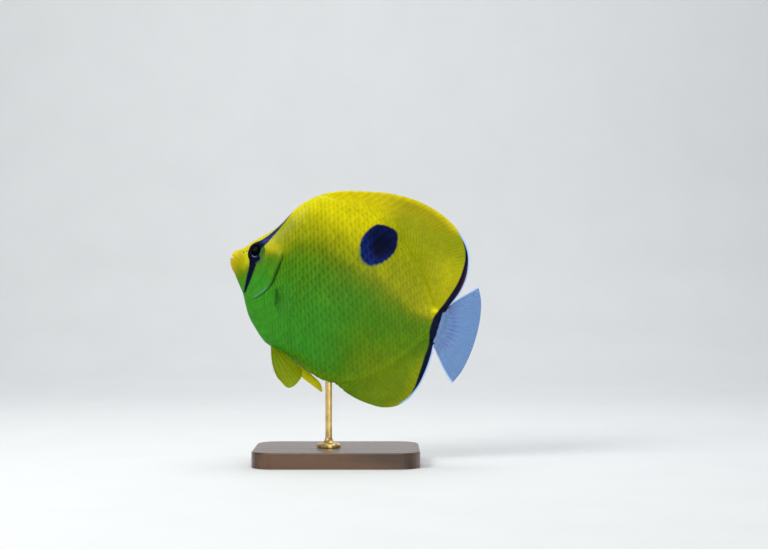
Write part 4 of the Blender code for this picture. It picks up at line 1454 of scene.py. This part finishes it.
def body_places():
    places = lattice_places(COLUMN_PITCH, ROW_PITCH)
    along, up, pitch = places[:, 0], places[:, 1], places[:, 2]
    turn = np.clip(table_at(TURNS, np.minimum(along, BODY_SPAN[1]), up), -1, 1)
    past = past_gill(np.minimum(along, BODY_SPAN[1]), turn)
    corner = np.maximum(up - edge_up(along, 1), edge_up(along, -1) - up) > TAIL_CORNER[1]
    clear = (along < BODY_SPAN[1] - 1.6 * pitch) & ~(corner & (along > TAIL_CORNER[0]))
    low = edge_up(along, -1) - up > -ANAL_ROOM[2]
    clear = clear & ~(low & (np.abs(along - ANAL_ROOM[0]) < ANAL_ROOM[1]))
    return places[within(places) & clear & (past > -2.2)]


def keel_places(sign):
    """Rows along the back or the belly where it is too steep for the lattice to reach it."""
    step = 0.1
    fine = np.arange(*KEEL_SPANS[sign], step)
    edge = edge_up(fine, sign)
    reach = np.concatenate([[0], np.cumsum(np.hypot(step, np.diff(edge)))])
    angle = np.arctan(np.gradient(edge, step))
    found = []
    for number, gap in enumerate(KEEL_ROWS):
        at = np.arange(0.5 * KEEL_PITCH * (number % 2), reach[-1], KEEL_PITCH)
        along, up, heading = (np.interp(at, reach, row) for row in (fine, edge, angle))
        size = np.ones_like(at)
        row = [along, up - sign * gap, 0.9 * KEEL_PITCH * size, KEEL_TALL * size, heading]
        found.append(np.stack(row, -1))
    return np.concatenate(found)


def head_places():
    places = lattice_places(HEAD_COLUMN_PITCH, HEAD_ROW_PITCH)
    places = places[within(places) & (places[:, 0] < 60)]
    along, pitch = places[:, 0], places[:, 2]
    turn = table_at(TURNS, along, places[:, 1])
    height = ring_height(along, turn)
    clear = past_gill(along, turn) + PLATE_LONG * pitch < 0.2
    clear = clear & (from_eye(along + pitch, height) > 1.35) & (from_eye(along, height) > 1.2)
    return places[clear & ((along > 9) | ((height > 13) & (along > 7)))]


def fin_places(fin):
    """A fin's scales, in columns along its rays: along, height, pitch, row height and heading."""
    half_way = fin.place(fin.fine, np.full_like(fin.fine, 0.45))[:, ::2]
    reach = np.concatenate([[0], np.cumsum(np.linalg.norm(np.diff(half_way, axis=0), axis=1))])
    columns = np.arange(0.4 * FIN_PITCH, reach[-1] - 0.8 * FIN_PITCH, FIN_PITCH)
    low, high = FIN_COVER
    found = []
    for number, ray in enumerate(np.interp(columns, reach, fin.fine)):
        length = float(fin.length(ray))
        limit = low + (high - low) * smooth(fin.spines - 4, fin.spines + 3, ray)
        far = min(limit * length, length - 2.2)
        away = max(FIN_START, -0.35 * length) + (0.5 * FIN_ROW if number % 2 else 0.0)
        angle = math.atan2(*fin.root_and_way(ray)[1][::-1])
        while away < far:
            share = max(away, 0) / length
            row = FIN_ROW * (1 - 0.45 * share)
            shrink = 1 - 0.3 * smooth(far - 5, far, away)
            x, _, z = fin.place(ray, away / length)
            found.append((x, z, 0.9 * FIN_PITCH * shrink, row * shrink, 0.45 * angle))
            away += row
    return np.array(found)


def plate_faces(columns, rows):
    """The faces of one scale: quads over its top and its wall, and one below."""
    index = np.arange((columns + 1) * (rows + 1)).reshape(columns + 1, rows + 1)
    top = np.stack([index[:-1, :-1], index[1:, :-1], index[1:, 1:], index[:-1, 1:]], -1).reshape(-1, 4)
    rim = np.concatenate([index[:, 0], index[-1, 1:], index[-2::-1, -1], index[0, -2:0:-1]])
    below = np.arange(len(rim)) + index.size
    wall = np.stack([rim, below, np.roll(below, -1), np.roll(rim, -1)], -1)
    return np.concatenate([top, wall]), below[None, ::-1], rim


def plate_steps(places, chance, plate, slant):
    """Steps from each scale's root to its points: to the rear and upwards."""
    pitch, tall, heading = (places[:, k, None, None] for k in (2, 3, 4))
    size = PLATE_SIZE + PLATE_SPREAD * chance[:, 0, None, None]
    u = np.linspace(0, 1, plate[0] + 1)[None, :, None] ** 0.8
    v = np.linspace(-1, 1, plate[1] + 1)[None, None, :]
    rear = 1 - PLATE_ROUND * np.abs(v) ** 2.2
    p = PLATE_LONG * pitch * size * (0.1 + (rear - 0.1) * u)
    q = PLATE_HALF * tall * size * v * (PLATE_NECK + (1 - PLATE_NECK) * np.sqrt(u))
    angle = heading + PLATE_SPREAD * (chance[:, 1, None, None] - 0.5)
    back = p * np.cos(angle) - q * np.sin(angle) - slant * q
    upward = q * np.cos(angle) + p * np.sin(angle)
    return back, upward, u, v


class Coat:
    """One side's scales as a joined mesh of closed plates."""

    def __init__(self, places, side, plate, slant, surface, lift):
        self.places, self.side, self.plate = places, side, plate
        self.chance = RANDOM.random((len(places), 4))
        self.faces, self.below, self.rim = plate_faces(*plate)
        back, upward, u, v = plate_steps(places, self.chance, plate, slant)
        base = surface(places[:, 0, None, None] + back, places[:, 1, None, None] + upward)
        self.points = self.closed_plates(base, u, v, lift)
        self.rear = self.spread(u, base.shape[:3])
        self.across = self.spread(v, base.shape[:3])

    def closed_plates(self, base, u, v, lift):
        """The points of each scale: its top, raised from the surface, then its rim just below."""
        normal = -np.cross(np.gradient(base, axis=1), np.gradient(base, axis=2))
        normal *= self.side / (np.linalg.norm(normal, axis=-1)[..., None] + 1e-9)
        thick = lift * (0.85 + 0.3 * self.chance[:, 2, None, None])
        thick = thick * np.minimum(1, self.places[:, 3, None, None] / 4.5 + 0.25)
        rise = (thick + PLATE_ROOT) * u**1.1 * (1 - 0.5 * np.abs(v) ** 2.5) - PLATE_ROOT
        rise = rise - 0.35 * thick * smooth(0.9, 1.0, u) ** 2
        flat = (len(base), -1, 3)
        low = (base - normal * PLATE_UNDER).reshape(flat)[:, self.rim]
        return np.concatenate([(base + normal * rise[..., None]).reshape(flat), low], axis=1)

    def spread(self, value, shape):
        """A value of the plate's grid at all the points of each scale."""
        grid = np.broadcast_to(value, shape).reshape(shape[0], -1)
        return np.concatenate([grid, grid[:, self.rim]], axis=1)

    def values(self, blend):
        """The markings at the points. A scale on the round spot's edge keeps blend of one colour."""
        points = self.points
        middle = points[:, (self.plate[0] - 2) * (self.plate[1] + 1) + self.plate[1] // 2]
        spot_places = [points[..., k] * (1 - blend) + middle[:, None, k] * blend for k in (0, 2)]
        turn = place_turn(points[..., 0], points[..., 2])
        past = past_gill(np.clip(points[..., 0], *BODY_SPAN), turn)
        values = markings(points[..., 0], points[..., 2], spot_places, past)
        values["navy"] = values["navy"] * (0.6 + 0.4 * self.chance[:, 3, None])
        values["navy"] = values["navy"] * (0.35 + 0.75 * smooth(0.5, 0.9, self.rear))
        # Painted shade at the scales' roots, strongest in one patch of the flank.
        under = 0.38 * patch_at(points[..., 0], points[..., 2], ROOT_SHADE_PATCH) * smooth(0.8, 0.5, self.rear)
        values["shadow"] = np.maximum(values["shadow"], under)
        values["tone"] = values["tone"] + 0.05 * (self.chance[:, 3, None] - 0.5)
        chance = np.broadcast_to(self.chance[:, 0, None], points.shape[:2])
        return values | {"rear": self.rear, "across": self.across, "chance": chance}

    def patches(self, ups):
        """Each point's place on the unwrap: a small patch at its root, by side, along and up."""
        map_u = 0.02 + self.places[:, 0] / COAT_MAP[0] + (0.5 if self.side > 0 else 0)
        map_v = 0.5 + ups / COAT_MAP[1]
        step_u = COAT_PATCH * (self.rear - 0.5)
        step_v = COAT_PATCH * 0.5 * self.across
        return np.stack([map_u[:, None] + step_u, map_v[:, None] + step_v], -1).reshape(-1, 2)

    def build(self, name, material, slot, ups, blend):
        count, each = self.points.shape[:2]
        offset = (np.arange(count) * each)[:, None, None]
        quads = (self.faces[None] + offset).reshape(-1, 4)
        floors = (self.below[None] + offset).reshape(-1, self.below.shape[1])
        if self.side > 0:
            quads, floors = quads[:, ::-1], floors[:, ::-1]
        mesh = make_mesh(name, to_world(self.points.reshape(-1, 3)), [quads, floors], self.values(blend))
        layer = mesh.uv_layers.new(name="OFBake")
        corner = np.empty(len(mesh.loops), np.int32)
        mesh.loops.foreach_get("vertex_index", corner)
        layer.data.foreach_set("uv", self.patches(ups)[corner].astype(np.float32).ravel())
        mesh.set_sharp_from_angle(angle=math.radians(50))
        return add_piece(name, mesh, material, slot)


def build_coat(material, fins):
    """The scales of each side's body, head and fin bases, in this order."""
    body = np.concatenate([body_places(), keel_places(1), keel_places(-1)])
    head = head_places()
    on_fins = [(fin, fin_places(fin)) for fin in fins]
    for side, word in ((-1, "left"), (1, "right")):
        surface = partial(body_point, side=side, fins=fins)
        coat = Coat(body, side, BODY_PLATE, SLANT, partial(surface, under_flap=True), BODY_LIFT)
        coat.build(f"scales_body_{word}", material, "skin", body[:, 1], SPOT_BLEND)
        coat = Coat(head, side, SMALL_PLATE, SLANT, partial(surface, under_flap=False), HEAD_LIFT)
        coat.build(f"scales_head_{word}", material, "skin", head[:, 1], 0.0)
        for fin, places in on_fins:
            along, height = places[:, 0], places[:, 1]
            ups = edge_up(along, fin.sign) + height - fin.line(np.minimum(along, BODY_SPAN[1]))
            coat = Coat(places, side, SMALL_PLATE, 0.0, partial(fin.face, side=side), FIN_LIFT)
            name = f"scales_{'dorsal' if fin.sign > 0 else 'anal'}_{word}"
            coat.build(name, material, "fin", ups, 0.0)


PUPIL_AT = (13.2, 11.2)
PUPIL_SEEN = (2.8, 3.5)
# The rear edge of the dark bar where it crosses the eye, as (height, along).
EYE_BAR = [
    (3.3, 14.8), (4.5, 16.4), (5.5, 17.2), (6.5, 17.4), (7.4, 17.0), (8.5, 16.3), (10.5, 16.0),
    (12.5, 16.1), (13.7, 16.4), (15.1, 17.0), (16.5, 17.8),
]
eye_bar = curve_through(EYE_BAR)


def eye_material():
    """A green iris with the dark bar across it, a black pupil with a painted glint below it, and a wet,
    clear front.
    """
    graph = Graph("eye_paint")
    fibre = graph.noise(graph.place(), 1.6, 5)
    iris = graph.layers(
        graph.mix(fibre, (0.018, 0.09, 0.008), (0.08, 0.23, 0.02)),
        ("bar", (0.003, 0.005, 0.020)), ("ring", (0.035, 0.035, 0.02)), ("fleck", (0.16, 0.17, 0.24)),
        ("pale", (0.30, 0.46, 0.52)), ("pupil", (0.001, 0.0015, 0.004)),
    )
    graph.set(base_color=iris, roughness=0.4, specular_ior_level=0.0)
    graph.set(coat_weight=0.05, coat_roughness=0.04, coat_ior=1.33)
    graph.bump(graph.math("SUBTRACT", graph.times(fibre, 0.3), graph.value("pupil")), 0.15)
    return graph.material


def build_eye(side, name, material, node):
    mesh = eye_ball(side, 0.0, 128, 96)
    x, _, z = fish_places(mesh).T
    from_pupil = np.hypot((x - PUPIL_AT[0]) / PUPIL_SEEN[0], (z - PUPIL_AT[1]) / PUPIL_SEEN[1])
    below = window(eye_turn(x, z), -85, -60, -10, 35)
    store_values(mesh, {
        "pupil": smooth(1.04, 0.96, from_pupil),
        "ring": 0.4 * bell(from_pupil - 1.08, 0.05),
        "bar": smooth(0.3, -0.3, x - eye_bar(z)),
        # A painted glint under the pupil, standing for a reflection of the light.
        "fleck": bell(from_pupil - 1.13, 0.07) * window(x, 11.6, 12.6, 14.4, 15.4) * smooth(9.5, 8.5, z),
        "pale": 0.35 * bell(from_eye(x, z) - 0.93, 0.05) * below,
    })
    return add_piece(name, mesh, material, "eye", node)


def wood_material():
    """Dark walnut under satin lacquer, its grain along the base."""
    graph = Graph("walnut")
    warped = graph.noise(graph.place((0.012, 0.06, 0.06)), 1.0, 3)
    node = graph.node("TexWave", scale=0.035, distortion=9.0, detail=3.0, detail_scale=0.6)
    node.wave_type = "BANDS"
    node.bands_direction = "Y"
    graph.link(graph.place((0.16, 1.0, 1.0)), node.inputs["Vector"])
    pores = graph.noise(graph.place((0.25, 4.0, 4.0)), 1.0, 2)
    figure = graph.plus(graph.times(node.outputs["Fac"], 0.6), graph.times(warped, 0.5))
    colour = graph.mix(graph.ramp(figure, 0.25, 0.9), (0.048, 0.022, 0.010), (0.150, 0.070, 0.030))
    dark_pore = graph.ramp(pores, 0.60, 0.70)
    colour = graph.mix(graph.times(dark_pore, 0.6), colour, (0.020, 0.009, 0.004))
    graph.set(base_color=colour, roughness=graph.ramp(pores, 0.3, 0.7, 0.30, 0.42))
    graph.set(coat_weight=0.4, coat_roughness=0.2, specular_ior_level=0.4)
    graph.bump(graph.math("SUBTRACT", 1.0, dark_pore), 0.04)
    return graph.material


def brass_material():
    """Satin brass, brushed round the rod and a little tarnished."""
    graph = Graph("satin_brass")
    brushed = graph.noise(graph.place((0.3, 0.3, 12.0)), 1.0, 2)
    tarnish = graph.noise(graph.place(), 0.12, 4)
    colour = graph.mix(graph.ramp(tarnish, 0.45, 0.75), (0.78, 0.56, 0.22), (0.52, 0.34, 0.12))
    rough = graph.plus(graph.ramp(brushed, 0.3, 0.7, 0.22, 0.34), graph.ramp(tarnish, 0.4, 0.8, 0.0, 0.12))
    graph.set(base_color=colour, metallic=1.0, roughness=rough)
    graph.bump(brushed, 0.01)
    return graph.material


def dress_stand():
    for node, material in (("stand_base", wood_material()), ("stand_rod", brass_material())):
        for slot in bpy.data.objects[node].material_slots:
            slot.material = material


# The studio, in metres. Each lamp has a name, a place, a width and height, a power and a colour.
CAMERA_AT = (0.0274, -0.9, 0.1092)
CAMERA_SENSOR = 36.0
CAMERA_LENS = 72.6
LAMPS = [
    ("key", (-0.65, -0.55, 0.75), (0.5, 0.4), 7.0, (1.0, 0.98, 0.94)),
    ("top", (0.05, 0.1, 0.9), (0.6, 0.6), 5.0, (1.0, 1.0, 1.0)),
    ("fill", (0.3, -0.9, 0.0), (0.9, 0.5), 3.6, (0.95, 0.98, 1.0)),
    ("back", (0.3, 0.9, 0.5), (0.8, 0.6), 2.0, (0.95, 0.97, 1.0)),
]
LAMPS_FACE = (0.0, 0.0, 0.11)
SKY = (0.80, 0.84, 0.88, 1.0)
SKY_STRENGTH = 0.35
# The paper's sweep from the floor up to the backdrop, as (depth, height), and half its width.
SWEEP = [(-1.2, 0.0), (0.5, 0.0), (0.62, 0.01), (0.72, 0.05), (0.79, 0.12), (0.82, 0.22), (0.83, 1.6)]
SWEEP_HALF = 2.0
FLOOR_DROP = 0.0002


def build_camera():
    """The camera at the photograph's angle: level, square to the fish's left side."""
    camera = bpy.data.cameras.new("camera")
    camera.sensor_width = CAMERA_SENSOR
    camera.lens = CAMERA_LENS
    made = new_object("camera", camera)
    made.location = CAMERA_AT
    made.rotation_euler = (math.pi / 2, 0.0, 0.0)
    bpy.context.scene.camera = made


def build_lamps():
    """Soft lamps that face the fish, and a pale sky."""
    for name, place, size, power, colour in LAMPS:
        light = bpy.data.lights.new(name, "AREA")
        light.shape = "RECTANGLE"
        light.size, light.size_y = size
        light.energy = power
        light.color = colour
        made = new_object(name, light)
        made.location = place
        made.rotation_euler = (Vector(LAMPS_FACE) - Vector(place)).to_track_quat("-Z", "Y").to_euler()
    world = bpy.data.worlds.new("studio")
    world.use_nodes = True
    sky = world.node_tree.nodes["Background"]
    sky.inputs["Color"].default_value = SKY
    sky.inputs["Strength"].default_value = SKY_STRENGTH
    bpy.context.scene.world = world


def build_floor():
    """A sheet of pale paper that sweeps up behind the stand."""
    graph = Graph("floor_paper")
    grain = graph.noise(graph.place(), 0.02, 3)
    graph.set(base_color=graph.mix(grain, (0.72, 0.74, 0.75), (0.78, 0.79, 0.80)), roughness=0.85)
    points = np.array([(x, y, z) for y, z in SWEEP for x in (-SWEEP_HALF, SWEEP_HALF)])
    row = np.arange(len(SWEEP) - 1)[:, None] * 2
    mesh = make_mesh("floor", points, [row + np.array([[0, 1, 3, 2]])])
    mesh.materials.append(graph.material)
    floor = new_object("floor", mesh)
    floor.location.z = -FLOOR_DROP


def main():
    scene = bpy.context.scene
    scene.view_settings.view_transform = "Standard"
    build_camera()
    build_lamps()
    build_floor()
    build_skin(skin_material())
    fins = build_fins(fin_material(), clear_fin_material(), pectoral_material())
    build_coat(scale_material(), fins)
    eye = eye_material()
    build_eye(-1, "eye_left_ball", eye, "eye_left")
    build_eye(1, "eye_right_ball", eye, "eye_right")
    dress_stand()


main()
